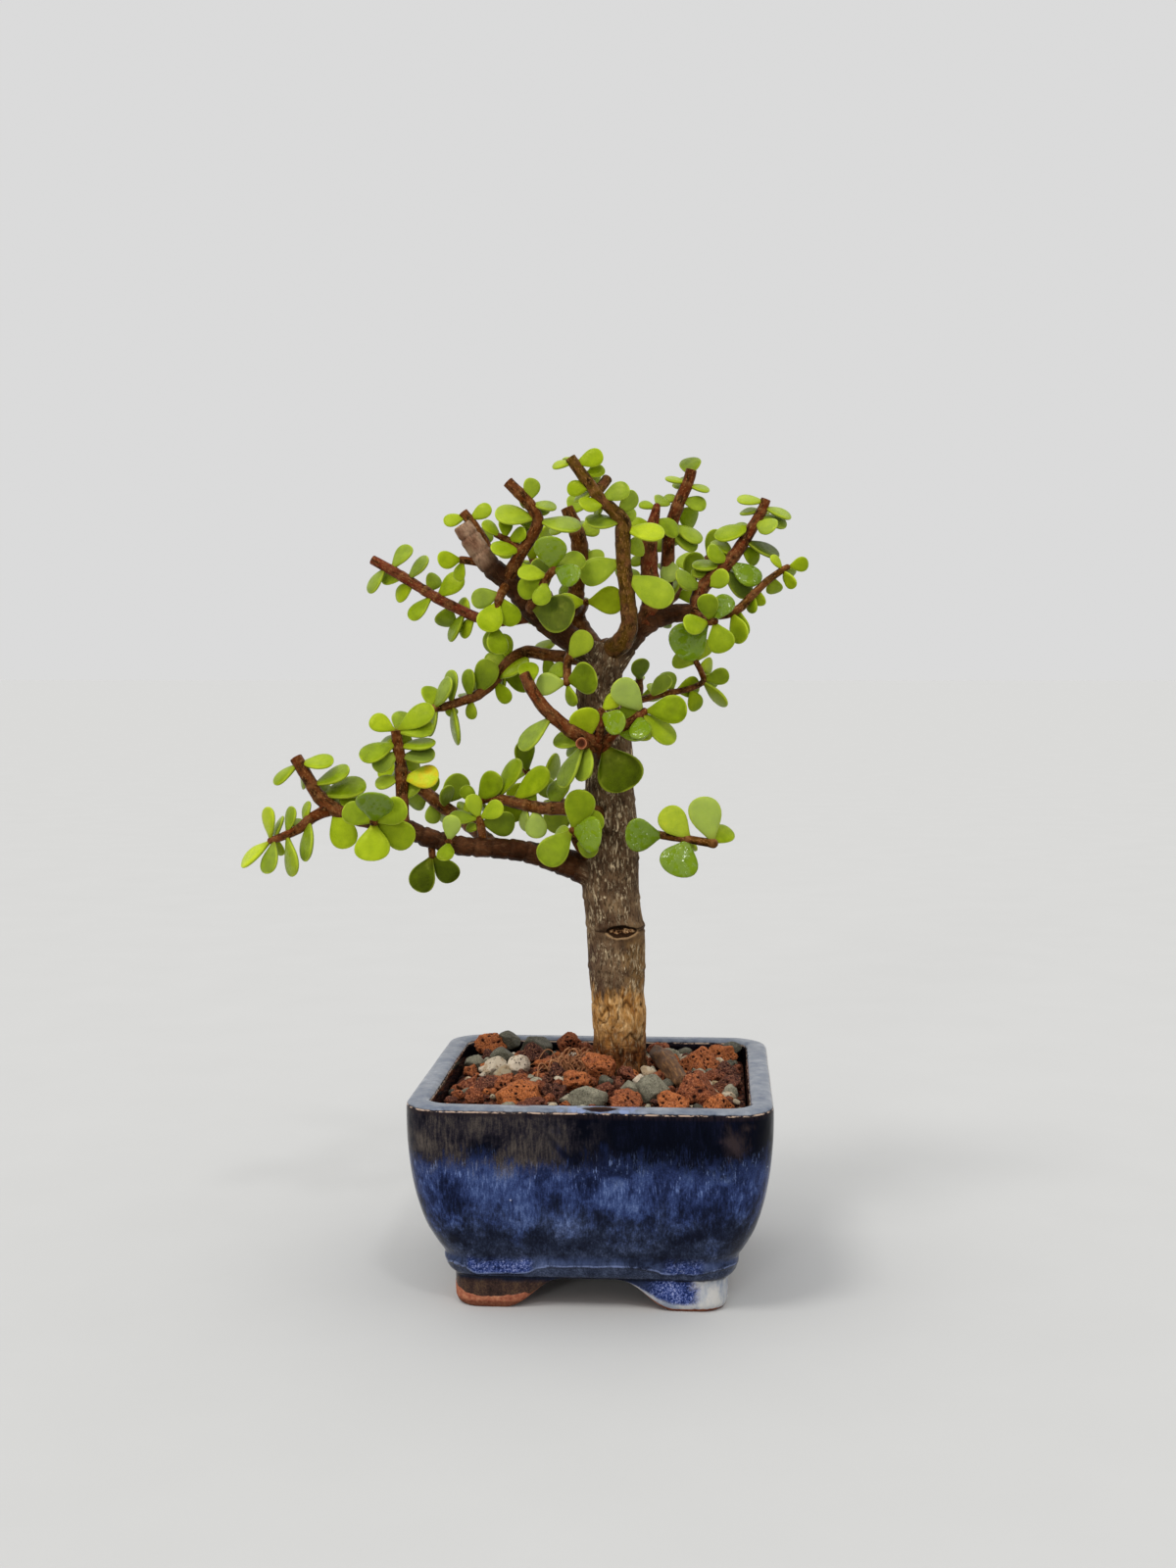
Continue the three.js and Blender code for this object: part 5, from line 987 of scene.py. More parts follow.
# The larger clouds of the front: x, z, half width, half height and how much lighter.
POT_CLOUDS = rows("""
-28.5 39.5 7 6 0.07, -20 31 8 7 0.06, -4.5 27 6 5 0.1, 5 42 9 5 -0.12, -13 43 6 5 -0.1, 32 33 11 11 -0.1,
12 34 9 7 -0.03, -38 30 7 10 -0.12, -20 18 16 8 -0.07, 22 19 16 8 -0.07""")


def square_ring(half, corner):
    """A rounded square, as points that start at the middle of a side."""
    flat, arc = half - corner, corner * np.pi / 4
    if flat >= STRAIGHT:
        reach = np.concatenate([np.linspace(0, STRAIGHT, SIDE_POINTS, endpoint=False),
                                np.linspace(STRAIGHT, flat + arc, CORNER_POINTS + 1)])
    else:
        reach = np.linspace(0, flat + arc, SIDE_POINTS + CORNER_POINTS + 1)
    turn = np.clip((reach - flat) / corner, 0, None)
    eighth = np.stack([np.where(reach < flat, half, flat + corner * np.cos(turn)),
                       np.where(reach < flat, reach, flat + corner * np.sin(turn))], axis=1)
    quarter = np.concatenate([eighth[:-1], eighth[:0:-1, ::-1]])
    turns = [(1, 0), (0, 1), (-1, 0), (0, -1)]
    return np.concatenate([quarter @ np.array([[c, s], [-s, c]]) for c, s in turns])


def arch_height(ring):
    """How high the arch of the foot lies over each point of a ring."""
    t = np.linspace(0, 1, 200)[:, None]
    a, b, c, d = ARCH
    curve = a * (1 - t) ** 3 + 3 * b * t * (1 - t) ** 2 + 3 * c * t**2 * (1 - t) + d * t**3
    return np.interp(-np.min(np.abs(ring), axis=1), -curve[:, 0], curve[:, 1])


def spline(table, heights):
    """Rows of a table at given heights, on a curve that runs smoothly through it without overshoot."""
    z, values = table[:, 0], table[:, 1:]
    slope = np.diff(values, axis=0) / np.diff(z)[:, None]
    steep = np.zeros_like(values)
    before, after = slope[:-1], slope[1:]
    same = before * after > 0
    steep[1:-1][same] = (2 * before * after / np.where(same, before + after, 1))[same]
    steep[0], steep[-1] = slope[0], slope[-1]
    i = np.clip(np.searchsorted(z, heights) - 1, 0, len(z) - 2)
    gap = (z[i + 1] - z[i])[:, None]
    w = ((heights - z[i])[:, None]) / gap
    return ((1 + 2 * w) * (1 - w) ** 2 * values[i] + w * (1 - w) ** 2 * gap * steep[i]
            + w * w * (3 - 2 * w) * values[i + 1] + w * w * (w - 1) * gap * steep[i + 1])


def pot_rings():
    """The pot's skin as rings that close on themselves: up the outside, down the cavity and the drain
    hole, out under the floor, and down to the foot. Each is (points, [share of glaze, 1 in the cavity,
    centimetres over the edge of the arch, 1])."""
    rings = []

    def add(half, corner, z, glaze, within=0, over=1):
        flat = square_ring(half, corner)
        rings.append((np.column_stack([flat, np.broadcast_to(z, RING)]), [glaze, within, over, 1]))

    lift, lift_inside = (arch_height(square_ring(half, corner))
                         for half, corner in [(FOOT, FOOT_CORNER), (RECESS, RECESS_CORNER)])
    edge = np.array([0, 0.12, 0.4, 0.8, 1.3, 1.8, 2.3, 3, 4, 5, 6, 7, 7.9, 8.4, 8.7, 8.95, 9.2, BAND_FOOT])
    for over, (half, corner) in zip(edge, spline(OUTSIDE, edge)):
        add(half, corner, lift + over * (1 - lift / BAND_FOOT), min(over, 1), 0, over / 10)
    heights = np.concatenate([np.arange(BAND_FOOT + 0.25, 20.4, 0.3), np.arange(20.6, 56, 0.9),
                              [56.2, 56.6, 57, 57.3, 57.6, 57.9, 58.15, 58.35, 58.47, 58.52]])
    for z, (half, corner) in zip(heights, spline(OUTSIDE, heights)):
        add(half, corner, z, 1)
    for half, corner in [(47.6, 9.6), (46.6, 9), (45.7, 8.3)]:
        add(half, corner, 58.55, 1)
    heights = np.array([58.5, 58.4, 58.15, 57.8, 57.2, 56.4, 55.4, 54, 52, 49, 45, 40, 35, 30, 25, 21, 18, 16,
                        15.2])
    for z, (half, corner) in zip(heights, spline(INSIDE, heights)):
        add(half, corner, z, 1, float(z < 56))
    for half, corner in [(30, 5), (22, 8), (14, 9), (8, 7.5)]:
        add(half, corner, FLOOR_TOP, 0.6, 1)
    for z in (14.7, 12.5, 10, RECESS_TOP):
        add(DRAIN, DRAIN - 0.01, z, 0)
    for half, corner in [(8, 7.5), (14, 9), (22, 6), (28.4, 4)]:
        add(half, corner, RECESS_TOP, 0)
    for share in (0.97, 0.7, 0.4, 0.12):
        add(RECESS, RECESS_CORNER, lift_inside + (RECESS_TOP - lift_inside) * share, 0)
    for over, inset in [(0.06, 0.3), (0, 0.8)]:
        sole = (RECESS + inset, RECESS_CORNER + inset)
        add(*sole, arch_height(square_ring(*sole)) + over, 0, 0, 0.3)
    return rings


def add_pot(material):
    rings = pot_rings()
    points = np.concatenate([ring for ring, _ in rings])
    # its walls and rim waver a little, inwards only
    wide = np.abs(points[:, :2]).max(axis=1)
    waver = WALL_WAVER * smooth_step(wide, 36, 38) * (0.5 + 0.5 * noise_at(points, 26, 2.0))
    points[:, :2] *= (1 - waver / np.maximum(wide, 1))[:, None]
    at_rim = smooth_step(points[:, 2], 57, 58.4)
    points[:, 2] -= RIM_WAVER * at_rim * (0.5 + 0.5 * noise_at(points, 17, 6.0))
    add_piece("glazed_pot", points, skin_faces(len(rings), RING, closed=True), material, "glaze", ["pot"],
              glazed=np.repeat([values for _, values in rings], RING, axis=0))


def pot_material():
    s = Shading("glaze", Specular_IOR_Level=0.08, Specular_Tint=(0.55, 0.66, 1, 1))
    x, y, z = s.place()
    glazed, within, over, _ = s.channels("glazed")
    off, between = s.off, s.between
    # a blue that ran down over black, in clouds, runs and fine hairs
    hairs = s.noise(0.55, detail=3, rough=0.6, stretch=(1, 1, 6.5))
    runs = s.noise(2.4, detail=5, rough=0.65, stretch=(1, 1, 3.6))
    clouds = s.noise(15, detail=4, rough=0.55, warp=0.7)
    patches = s.noise(6, detail=5, rough=0.6, warp=0.6, offset=(3, 7, 1))
    grain = s.noise(0.4, detail=2, rough=0.7)
    fall = s.plus(z, off(clouds, 16), off(runs, 13), off(hairs, 16))
    depth = s.plus(s.times(clouds, 0.75), 0.125, off(patches, 0.6), off(runs, 0.5), off(hairs, 0.6),
                   off(grain, 0.35))
    for px, pz, wide, tall, lighter in POT_CLOUDS:
        across, up = s.times(s.plus(x, -px), 1 / wide), s.times(s.plus(z, -pz), 1 / tall)
        reach = s.plus(s.times(across, across), s.times(up, up), off(patches, 3), off(runs, 2))
        depth = s.plus(depth, s.step(reach, 1.5, 0.1, 0, lighter))
    slate = s.ramp(depth, "0f1221 1e2436 2f374d 454e69 6a7390", 0.22, 0.4, 0.54, 0.68, 0.86)
    blue = s.ramp(depth, "0d1228 1b2443 2a365e 3a4a76 556691 8090b8", 0.22, 0.38, 0.5, 0.62, 0.76, 0.92)
    blue = s.coats(blue, (slate, s.step(s.plus(fall, off(clouds, 20)), 33, 20)))
    # painted reflections on the dark top of the glaze: a brown-grey haze over the upper left of the front
    painted_reflection = s.ramp(s.plus(s.times(hairs, 0.5), s.times(clouds, 0.5), off(patches, 0.5), off(grain, 0.25)),
                  "0b090f 211d22 38322f 4e4640", 0.36, 0.48, 0.58, 0.7)
    painted_reflection_share = s.times(s.step(s.plus(x, off(clouds, 60)), 6, -8), s.step(y, -30, -40), s.step(clouds, 0.36, 0.5))
    night = s.coats(s.ramp(depth, "010106 03040e 0b0d1e 171b33", 0.35, 0.55, 0.75, 0.95), (painted_reflection, painted_reflection_share),
                    # painted reflection: a brown patch towards the right corners
                    ("362b2a", between(s.plus(x, off(hairs, 5), off(patches, 12)), 34, 38.5, 40, 44),
                     between(s.plus(z, off(runs, 8), off(patches, 10)), 44, 50, 51, 56), 0.75))
    # pale hairs hang where the blue begins
    strokes = s.times(between(s.plus(z, off(clouds, 16), off(runs, 9)), 34, 39, 42, 48),
                      s.step(s.plus(hairs, off(grain, 0.15)), 0.55, 0.68), s.step(runs, 0.42, 0.58))

    # the rim is pale, where the glaze breaks thin, with a bare brown spot, and a fine tan edge that is partly
    # a painted highlight
    aside, behind = s.size_of(s.math("SUBTRACT", x, 3.4)), s.plus(y, 47.6)
    oval = s.plus(s.times(aside, aside, 1 / 22), s.times(behind, behind, 1 / 3.2), off(patches, 1.2))
    pale = s.coats(
        s.ramp(s.plus(s.times(runs, 0.3), s.times(patches, 0.4), s.times(clouds, 0.3)),
               "4f576a 656c78 757a83 8e9299", 0.38, 0.47, 0.55, 0.66),
        ("7885a6", s.step(s.plus(aside, off(patches, 9)), 15, 7), s.step(y, -42, -44),
         s.step(runs, 0.4, 0.6)),
        ("22181a", s.step(oval, 1.2, 0.8)))
    broken = s.step(s.noise(2.2, detail=4, rough=0.7, stretch=(1, 1, 0.4)), 0.44, 0.56)

    # the ridge of the band, a pale line that sags over the feet, with crystals pooled on it
    aside = s.math("MINIMUM", s.size_of(x), s.size_of(y))
    sag = s.times(between(s.plus(aside, off(clouds, 14)), 13, 22, 29, 37), s.step(x, 20, -20, 1.7, 2.7))
    above = s.plus(z, sag, off(s.noise(8, detail=3), 1.8))
    specks = s.ramp(s.plus(s.noise(0.6, detail=4, rough=0.8, warp=0.4), off(runs, 0.3)),
                    "10193a 293a72 6472a8 a3a8c8 ccc8d6", 0.4, 0.5, 0.58, 0.67, 0.78)
    dusty = s.ramp(s.plus(s.times(grain, 0.5), s.times(runs, 0.5)), "1d2130 333a4d 515a72", 0.36, 0.5, 0.64)
    body = s.coats(
        blue, (night, s.step(fall, 40, 47)), ("6a7dad", strokes, 0.75),
        (pale, s.step(s.plus(z, off(runs, 0.6)), 57.45, 57.85)),
        ("1f1617", between(z, 55.6, 56.8, 57.3, 57.6), s.step(hairs, 0.3, 0.6), 0.8),
        # the fine tan edge of the lip, broken: partly thin glaze, partly a painted highlight
        ("a8917f", between(s.plus(z, off(clouds, 0.5)), 57.1, 57.25, 57.45, 57.65), broken),
        ("424f74", between(above, 13.0, 13.9, 14.6, 17), s.step(patches, 0.36, 0.6), 0.5),
        (specks, between(above, 12.9, 13.4, 15.2, 18.5), s.step(sag, 0.9, 2.1), s.step(patches, 0.3, 0.42)),
        (dusty, between(above, 8, 9.8, 12.5, 13.3), 0.85),
        ("7886b0", between(above, 12.75, 13.1, 13.2, 13.6),
         s.step(s.plus(patches, off(grain, 0.5)), 0.36, 0.6), 0.75),
        (s.mix(s.step(hairs, 0.4, 0.6), "07080f", "1e1517"), within, s.step(z, 57, 55)),
        ("0c0f1c", s.step(s.plus(z, off(patches, 1.5)), 9.9, 9.1), 0.85))

    # the feet: a thin brown glaze or a milky one, then bare clay
    milky = s.times(s.step(x, 2, 14), s.step(y, -8, -20))
    sole = s.plus(z, off(s.noise(6, detail=3), 2.5))
    brown = s.ramp(s.plus(s.times(runs, 0.5), s.times(grain, 0.5)), "211915 3b2b25 54412f", 0.35, 0.5, 0.65)
    milk = s.coats(
        s.ramp(s.noise(3, detail=4, rough=0.6, stretch=(1, 1, 2)), "8c93a0 a5a8ad bfbdb9", 0.34, 0.46, 0.6),
        (specks, s.step(s.plus(x, off(patches, 10)), 31, 27),
         s.step(s.plus(over, off(patches, 0.3)), 0.15, 0.3)),
        ("232a40", s.step(x, 21, 13), s.step(over, 0.15, 0.4)))
    thin = s.mix(milky, s.mix(s.step(sole, 8.6, 7), body, brown), s.mix(s.step(sole, 8.9, 8.1), body, milk))
    clay_and_painted_shade = s.coats(s.ramp(s.noise(1.2, detail=4, rough=0.65), "7c4230 9c5f46 b9805f", 0.3, 0.5, 0.75),
                   ("42200f", s.step(z, 2.4, 1.6), 0.5),
                   # painted shade: near black in the recess, the drain hole and on the sole under the pot
                   ("1c100b", s.step(glazed, 0.1, 0.0), s.step(over, 0.2, 0.3)))
    bare_to = s.plus(off(s.noise(9, detail=3, offset=(4, 4, 4)), 5),
                     s.step(x, -33, -39, 0, 2), s.step(milky, 0, 1, 4.0, 0.9))
    bare = s.math("MAXIMUM", s.step(s.math("SUBTRACT", z, bare_to), 0.15, -0.15),
                  s.math("MAXIMUM", s.step(over, 0.1, 0.07), s.step(glazed, 0.5, 0.2)))
    body = s.coats(body, (thin, s.step(z, 9.4, 9)), (clay_and_painted_shade, bare),
                   ("b4bbd6", s.step(s.cells(9), 0.045, 0.02), between(z, 20, 28, 40, 48), 0.6))  # pinholes
    relief = s.bump(runs, 0.05, s.bump(s.noise(10, detail=2), 0.5))
    relief = s.bump(between(above, 12.4, 13.1, 13.3, 14.2), 0.35, relief)
    relief = s.bump(s.times(bare, s.noise(0.6, detail=4)), 0.25, relief)
    return s.finish(body, s.step(bare, 0, 1, 0.1, 0.8), relief)


# ---------------------------------------------------------------- what fills the pot

SOIL_TOP = np.array([[54.2, 42.9], [55.4, 34], [56.8, 22], [58, 12]])  # [z, half width]
BED_UNDER = 1.6  # the fine grit lies this far below the stones' level
BED_ROUGH = 0.7
STONE_EDGE = 42.4
FILLERS = 260
FINE_FROM = 2.75  # stones with a larger radius have a finer mesh
FINE, COARSE = 5, 3  # subdivisions of the ball that a stone is cut from
# The larger stones of the top dressing: x, y, radius, kind, tone from 0 to 1, and how far it is raised
STONES = rows("""
-39 38 3.5 lava 0.7 2, -36 37 4.8 lava 0.75 1.6, -30.5 39 3.2 grey 0.3 3.6, -22.5 37.5 4.9 grey 0.25 0.7,
-20 19 4.9 lava 0.08 0, -12 38 4.2 lava 0.58 2, -6 36 3.5 lava 0.5 0.5, -30 21 4 grey 0.35 0,
-36.5 27 2.4 lava 0.1 0, -39 20.5 2.8 grey 0.62 0, -32 9.5 3.6 pale 0.75 0, -24 7 3.8 pale 0.95 0,
-28.5 1.5 2.5 pale 0.1 0, -16.5 8 2.9 lava 0.72 0, 0.5 -5 5.4 lava 0.74 1.5, -5.5 -15 4 lava 0.75 0,
8.5 -6.5 2.9 lava 0.35 0, 14.5 -1.5 2.3 pale 0.45 0.4, 19.5 29.5 3 grey 0.75 0, 24.5 37.5 2.4 grey 0.35 0,
17.5 35.5 3.8 lava 0.5 0, 28.5 17 5.8 lava 0.72 0, 36.5 32.5 4.4 lava 0.75 0, 39.5 39.5 2.9 grey 0.2 1,
37 14 3 lava 0.08 0, 38.5 -4.5 3.8 lava 0.18 0, 33.5 3.5 2.8 lava 0.45 0, 29 -24 6.9 lava 0.56 0,
20.5 -11.5 2.2 grey 0.3 0, 10.5 -20.5 3.1 grey 0.6 0, 17 -22 4.4 grey 0.55 0, 3.5 -24 3.8 lava 0.33 0,
9.5 -31.5 4.5 lava 0.62 0, 23 -32 4.3 lava 0.8 0, 35 -31 4.1 lava 0.82 0, -1 -28.5 4.6 grey 0.65 0,
-10.5 -24.5 3.4 lava 0.06 0, -11.5 -6 3.1 lava 0.05 0, -19.5 -27.5 6.3 lava 0.85 0,
-24.5 -16 3.5 lava 0.6 0, -31 -12.5 3.3 lava 0.2 0, -37 -11 2.9 lava 0.45 0, -38.5 -19.5 1.8 lava 0.6 0,
-32.5 -28 2.9 lava 0.5 0, -36 -18 1.6 grey 0.45 0, -15 -36.5 4.2 lava 0.3 0""")
# A chip of bark and fine roots lie among them: x, y, z and radius along it
BARK_CHIP = rows("16.5 17.5 59.5 2.4, 19 8 59.9 2.9, 21.5 -3 59.4 2.8, 24.5 -14 58 2")
ROOTS_AT = (-7, 5, 7, 7)  # x, y and half widths of the patch of roots beside the trunk
ROOT_COUNT = 90
TUBE_STEP = 0.5  # between sections of either
# Circles without small stones, over the roots and the trunk: x, y and radius
KEPT_CLEAR = [(-8, 5, 6.5), (6, 8, 8.4)]
TRIES = 9000
LEAST_STONE, STONE_SPREAD = 1.0, 1.7  # radius of the smallest, and how much larger a small one gets
CLOSE = (0.74, 0.72)  # shares of a placed and a new radius that may not overlap
LAVA_TO, GREY_TO = 0.62, 0.9  # shares of the small stones, the rest being pale


def soil_height(x, y):
    return np.interp(-np.maximum(np.abs(x), np.abs(y)), -SOIL_TOP[:, 1], SOIL_TOP[:, 0])


def add_bed(material):
    under = rows("16.2 33.8 4, 20 36.6 5, 29 39.8 5.5, 36 41.1 6, 43.2 42.2 6, 51.5 42.8 6")
    rings = [np.column_stack([square_ring(half, corner), np.full(RING, z)]) for z, half, corner in under]
    for half in np.linspace(42.4, 0.6, 46):
        flat = square_ring(half, min(6, half * 0.6))
        bumps = noise_at(np.column_stack([flat, np.zeros(RING)]), 2.2, 1.0)
        rings.append(np.column_stack([flat, soil_height(*flat.T) - BED_UNDER + BED_ROUGH * bumps]))
    add_piece("soil_bed", np.concatenate(rings), flat_ended(len(rings), RING), material, "gravel", ["soil"])


def unit_sphere(subdivisions):
    mesh = bmesh.new()
    bmesh.ops.create_icosphere(mesh, subdivisions=subdivisions, radius=1)
    points = np.array([vertex.co[:] for vertex in mesh.verts])
    faces = [tuple(vertex.index for vertex in face.verts) for face in mesh.faces]
    mesh.free()
    return points, faces


def stone_points(sphere, radius, kind, seed):
    """An angular stone: a ball cut by chance planes, roughened, and with round pores where it is lava.
    Its points, and how deep each lies in a pore."""
    draw = draws_from(seed)

    def facing_chance():
        return sphere @ unit(np.array([next(draw) - 0.5 for _ in range(3)]) + 1e-6)

    reach = np.full(len(sphere), 1.25)
    for _ in range(11 if kind == "lava" else 9):
        facing, depth = facing_chance(), 0.7 + 0.3 * next(draw)
        reach = np.minimum(reach, np.where(facing > 0.05, depth / np.maximum(facing, 0.05), 9))
    points = sphere * reach[:, None]
    squash = np.array([1, 0.75 + 0.25 * next(draw), 0.68 + 0.2 * next(draw)])
    spin, tip, offset = 2 * math.pi * next(draw), 0.7 * (next(draw) - 0.5), 40 * next(draw)

    def roughness(size, high, shift=0):
        return noise_at(points * radius, size, offset + shift) * high

    rough, pores = roughness(1.6, 0.16) + roughness(0.7, 0.07), np.zeros(len(sphere))
    if kind == "lava":
        rough += roughness(2.4, 0.6, 5) + roughness(1.1, 0.25)
        # as many pores as the stone's skin has room for, most of them small
        for _ in range(int(8 * radius**2)):
            facing, wide = facing_chance(), 0.22 + 0.5 * next(draw) ** 3
            off = np.arccos(np.clip(facing, -1, 1)) * radius / wide
            pores = np.maximum(pores, wide * bell(off, 0.8))
        rough -= 1.5 * pores
    points = points * (radius * (1 + rough / max(radius, 2.2))[:, None]) * squash
    turn = np.array(Matrix.Rotation(spin, 3, "Z") @ Matrix.Rotation(tip, 3, "X"))
    return points @ turn.T, np.clip(2.4 * pores, 0, 1)


def scattered_stones():
    """The larger stones, then small ones in what room is left between them."""
    placed, draw = list(STONES), draws_from(71)
    for _ in range(TRIES):
        if len(placed) >= len(STONES) + FILLERS:
            break
        x, y = (STONE_EDGE * (2 * next(draw) - 1) for _ in range(2))
        size, kind, tone = LEAST_STONE + STONE_SPREAD * next(draw) ** 1.5, next(draw), next(draw)
        near = any(math.hypot(x - px, y - py) < CLOSE[0] * r + CLOSE[1] * size for px, py, r, *_ in placed)
        barred = any(math.hypot(x - px, y - py) < r for px, py, r in KEPT_CLEAR)
        if not (near or barred or max(abs(x), abs(y)) > STONE_EDGE - size):
            kind = "lava" if kind < LAVA_TO else "grey" if kind < GREY_TO else "pale"
            placed.append((x, y, size, kind, tone, 0))
    return placed


def add_stones(materials):
    spheres = {size: unit_sphere(size) for size in (FINE, COARSE)}
    skins = {kind: [] for kind in materials}
    for i, (x, y, radius, kind, tone, raised) in enumerate(scattered_stones()):
        sphere, template = spheres[FINE if radius > FINE_FROM else COARSE]
        stone, pores = stone_points(sphere, radius, kind, 17 * i + 3)
        limit = STONE_EDGE - np.abs(stone[:, :2]).max()
        px, py = np.clip([x, y], -limit, limit)
        sink = 0.1 if i < len(STONES) else -0.5 + 0.35 * ((i * 7) % 5) / 4
        stone = stone + [px, py, soil_height(px, py) + sink * radius + raised]
        own = np.tile([tone, (i * 0.381) % 1], (len(stone), 1))
        skins[kind].append((stone, template, np.column_stack([own, pores, pores * 0 + 1])))
    for kind, stones in skins.items():
        points, faces, tone = joined(stones)
        add_piece(f"gravel_{kind}", points, faces, materials[kind], "gravel", ["soil"], tone=tone)


def rough_tube(route, sides, roughen, seed):
    """A closed tube along a route, roughened, and its place if it were laid straight."""
    course = Course(route, TUBE_STEP)
    turn = round_turn(sides)
    straight = np.array([np.column_stack([radius * np.cos(turn), radius * np.sin(turn), np.full(sides, at)])
                         for radius, at in zip(course.radii, course.at + 30 * seed)]).reshape(-1, 3)
    rough = noise_at(straight, np.array([0.6, 0.6, 2.4]) * max(course.radii), seed).reshape(-1, sides)
    rings = course.rings(course.radii[:, None] * (1 + roughen * rough), sides)
    grain = np.column_stack([straight * MM, np.zeros(len(straight))])
    tone = np.tile([float(seed > 1), 0, 0, 0], (len(straight), 1))  # 1 on roots
    return rings.reshape(-1, 3), flat_ended(len(rings), sides), grain, tone


def add_litter(material):
    """The bark chip, and the tangle of fine roots at the foot of the trunk."""
    tubes = [rough_tube(BARK_CHIP, 20, 0.35, 1)]
    x, y, wide, deep = ROOTS_AT
    draw = draws_from(23)
    for i in range(ROOT_COUNT):
        px, py = x + wide * (2 * next(draw) - 1), y + deep * (2 * next(draw) - 1)
        aim, reach = 2 * math.pi * next(draw), 3 + 5 * next(draw)
        thick, high = 0.17 + 0.3 * next(draw) ** 2, 1.0 + 4.4 * next(draw)
        low, route = float(soil_height(px, py)) - 0.8, []
        for t in (0, 0.33, 0.66, 1):
            turn = aim + 0.9 * t
            route.append([px + reach * t * math.cos(turn), py + reach * t * math.sin(turn),
                          low + high * math.sin(math.pi * t) + 0.3 * t, thick * (1.2 - 0.7 * t)])
        tubes.append(rough_tube(route, 6, 0.15, 2 + i))
    points, faces, grain, tone = joined(tubes)
    add_piece("bark_litter", points, faces, material, "gravel", ["soil"], grain=grain, tone=tone)


def litter_material():
    s = Shading("bark_litter", along="grain", Specular_IOR_Level=0.3)
    fibre = s.noise(0.8, detail=5, rough=0.7, stretch=(1, 1, 5))
    roots = s.ramp(fibre, "5e3420 8f5c3a b98a5e", 0.3, 0.5, 0.7)
    bark = s.coats(s.ramp(fibre, "22150d 543820 87633f", 0.3, 0.5, 0.7), (roots, s.channels("tone")[0]))
    return s.finish(bark, s.step(fibre, 0.3, 0.7, 0.65, 0.9), s.bump(fibre, 0.25))


def lava_material():
    s = Shading("lava_rock", Specular_IOR_Level=0.12)
    tone, _, pores, _ = s.channels("tone")
    grains = s.noise(0.42, detail=4, rough=0.75)
    small = s.times(s.step(s.cells(0.8), 0.34, 0.2), s.step(s.noise(2.2, detail=2), 0.45, 0.55))
    rock = s.coats(
        s.ramp(s.plus(tone, s.off(s.noise(1.8, detail=5, rough=0.7), 0.9)), "3c2520 623628 864a2d ab6234",
               0.05, 0.35, 0.6, 0.85),
        ("3a1710", s.step(grains, 0.49, 0.38), 0.7), ("c98a62", s.step(grains, 0.53, 0.64), 0.55),
        ("4c2a20", s.step(s.noise(1.1, detail=4, rough=0.7, offset=(5, 2, 8)), 0.52, 0.64), 0.45),
        # painted shade: the small pits and the pores painted near black
        ("2a0f08", small, 0.85), ("200b06", s.step(pores, 0.3, 0.9)))
    return s.finish(rock, s.step(grains, 0.3, 0.7, 0.7, 0.95), s.bump(small, -0.25, s.bump(grains, 0.3)))


def grey_material():
    s = Shading("grey_stone", Specular_IOR_Level=0.2)
    blotch = s.plus(s.channels("tone")[0], s.off(s.noise(2.5, detail=4), 0.6))
    grains = s.noise(0.45, detail=4, rough=0.78)
    rock = s.coats(s.ramp(blotch, "37352c 5c594a 7f7b69 9a937e", 0.1, 0.4, 0.65, 0.9),
                   ("34312a", s.step(grains, 0.52, 0.63), 0.75), ("b8ae96", s.step(grains, 0.44, 0.33), 0.5))
    normal = s.bump(grains, 0.25, s.bump(s.noise(1.3, detail=4, rough=0.65), 0.5))
    return s.finish(rock, s.step(blotch, 0.2, 0.9, 0.6, 0.85), normal)


def pale_material():
    s = Shading("pale_stone", Specular_IOR_Level=0.2)
    tone = s.channels("tone")[0]
    grains = s.noise(0.8, detail=5, rough=0.72)
    holes = s.times(s.step(s.cells(0.9), 0.36, 0.24), s.step(grains, 0.45, 0.55))
    rock = s.coats("93856a", ("bfb19d", tone), ("8a6a44", s.step(s.noise(3, detail=3), 0.5, 0.62), 0.5),
                   # painted shade: the holes painted dark
                   ("2f2a22", holes, 0.9))
    return s.finish(rock, s.step(tone, 0, 1, 0.6, 0.8), s.bump(holes, -0.4, s.bump(grains, 0.3)))


def grit_material():
    s = Shading("grit", Specular_IOR_Level=0.1)
    red, green, _ = s.node("SeparateColor", {0: s.cells(0.9, output="Color")}).outputs
    grit = s.ramp(red, "1a0c08 3a1c12 603220 7a5640", 0.1, 0.5, 0.8, 1.0)
    return s.finish(grit, s.step(green, 0, 1, 0.7, 0.95), s.bump(s.cells(0.9), -0.4))


def mesh_material():
    s = Shading("mesh_plastic")
    scuffs = s.noise(1.5, detail=4)
    return s.finish(s.ramp(scuffs, "131313 26272a", 0.3, 0.7), s.step(scuffs, 0.3, 0.7, 0.45, 0.7),
                    s.bump(scuffs, 0.05))


# ---------------------------------------------------------------- stage, camera and lights

# The sky is as bright as the lit floor up to HORIZON_TO (the sine of the height) and brightens to
# TOP above TOP_FROM, so that no horizon shows behind the tree and the light falls from above.
HORIZON, HORIZON_TO = 0.72, 0.42
TOP, TOP_FROM = 1.35, 0.85
FLOOR = "b6b6b5"
FLOOR_REACH = 30.0  # metres to each side
CAMERA_AT, CAMERA_LENS = np.array([34.0, -521.8, 174.7]), 41.625
CAMERA_YAW, CAMERA_PITCH = 4.06, 3.6  # degrees to the left, and down


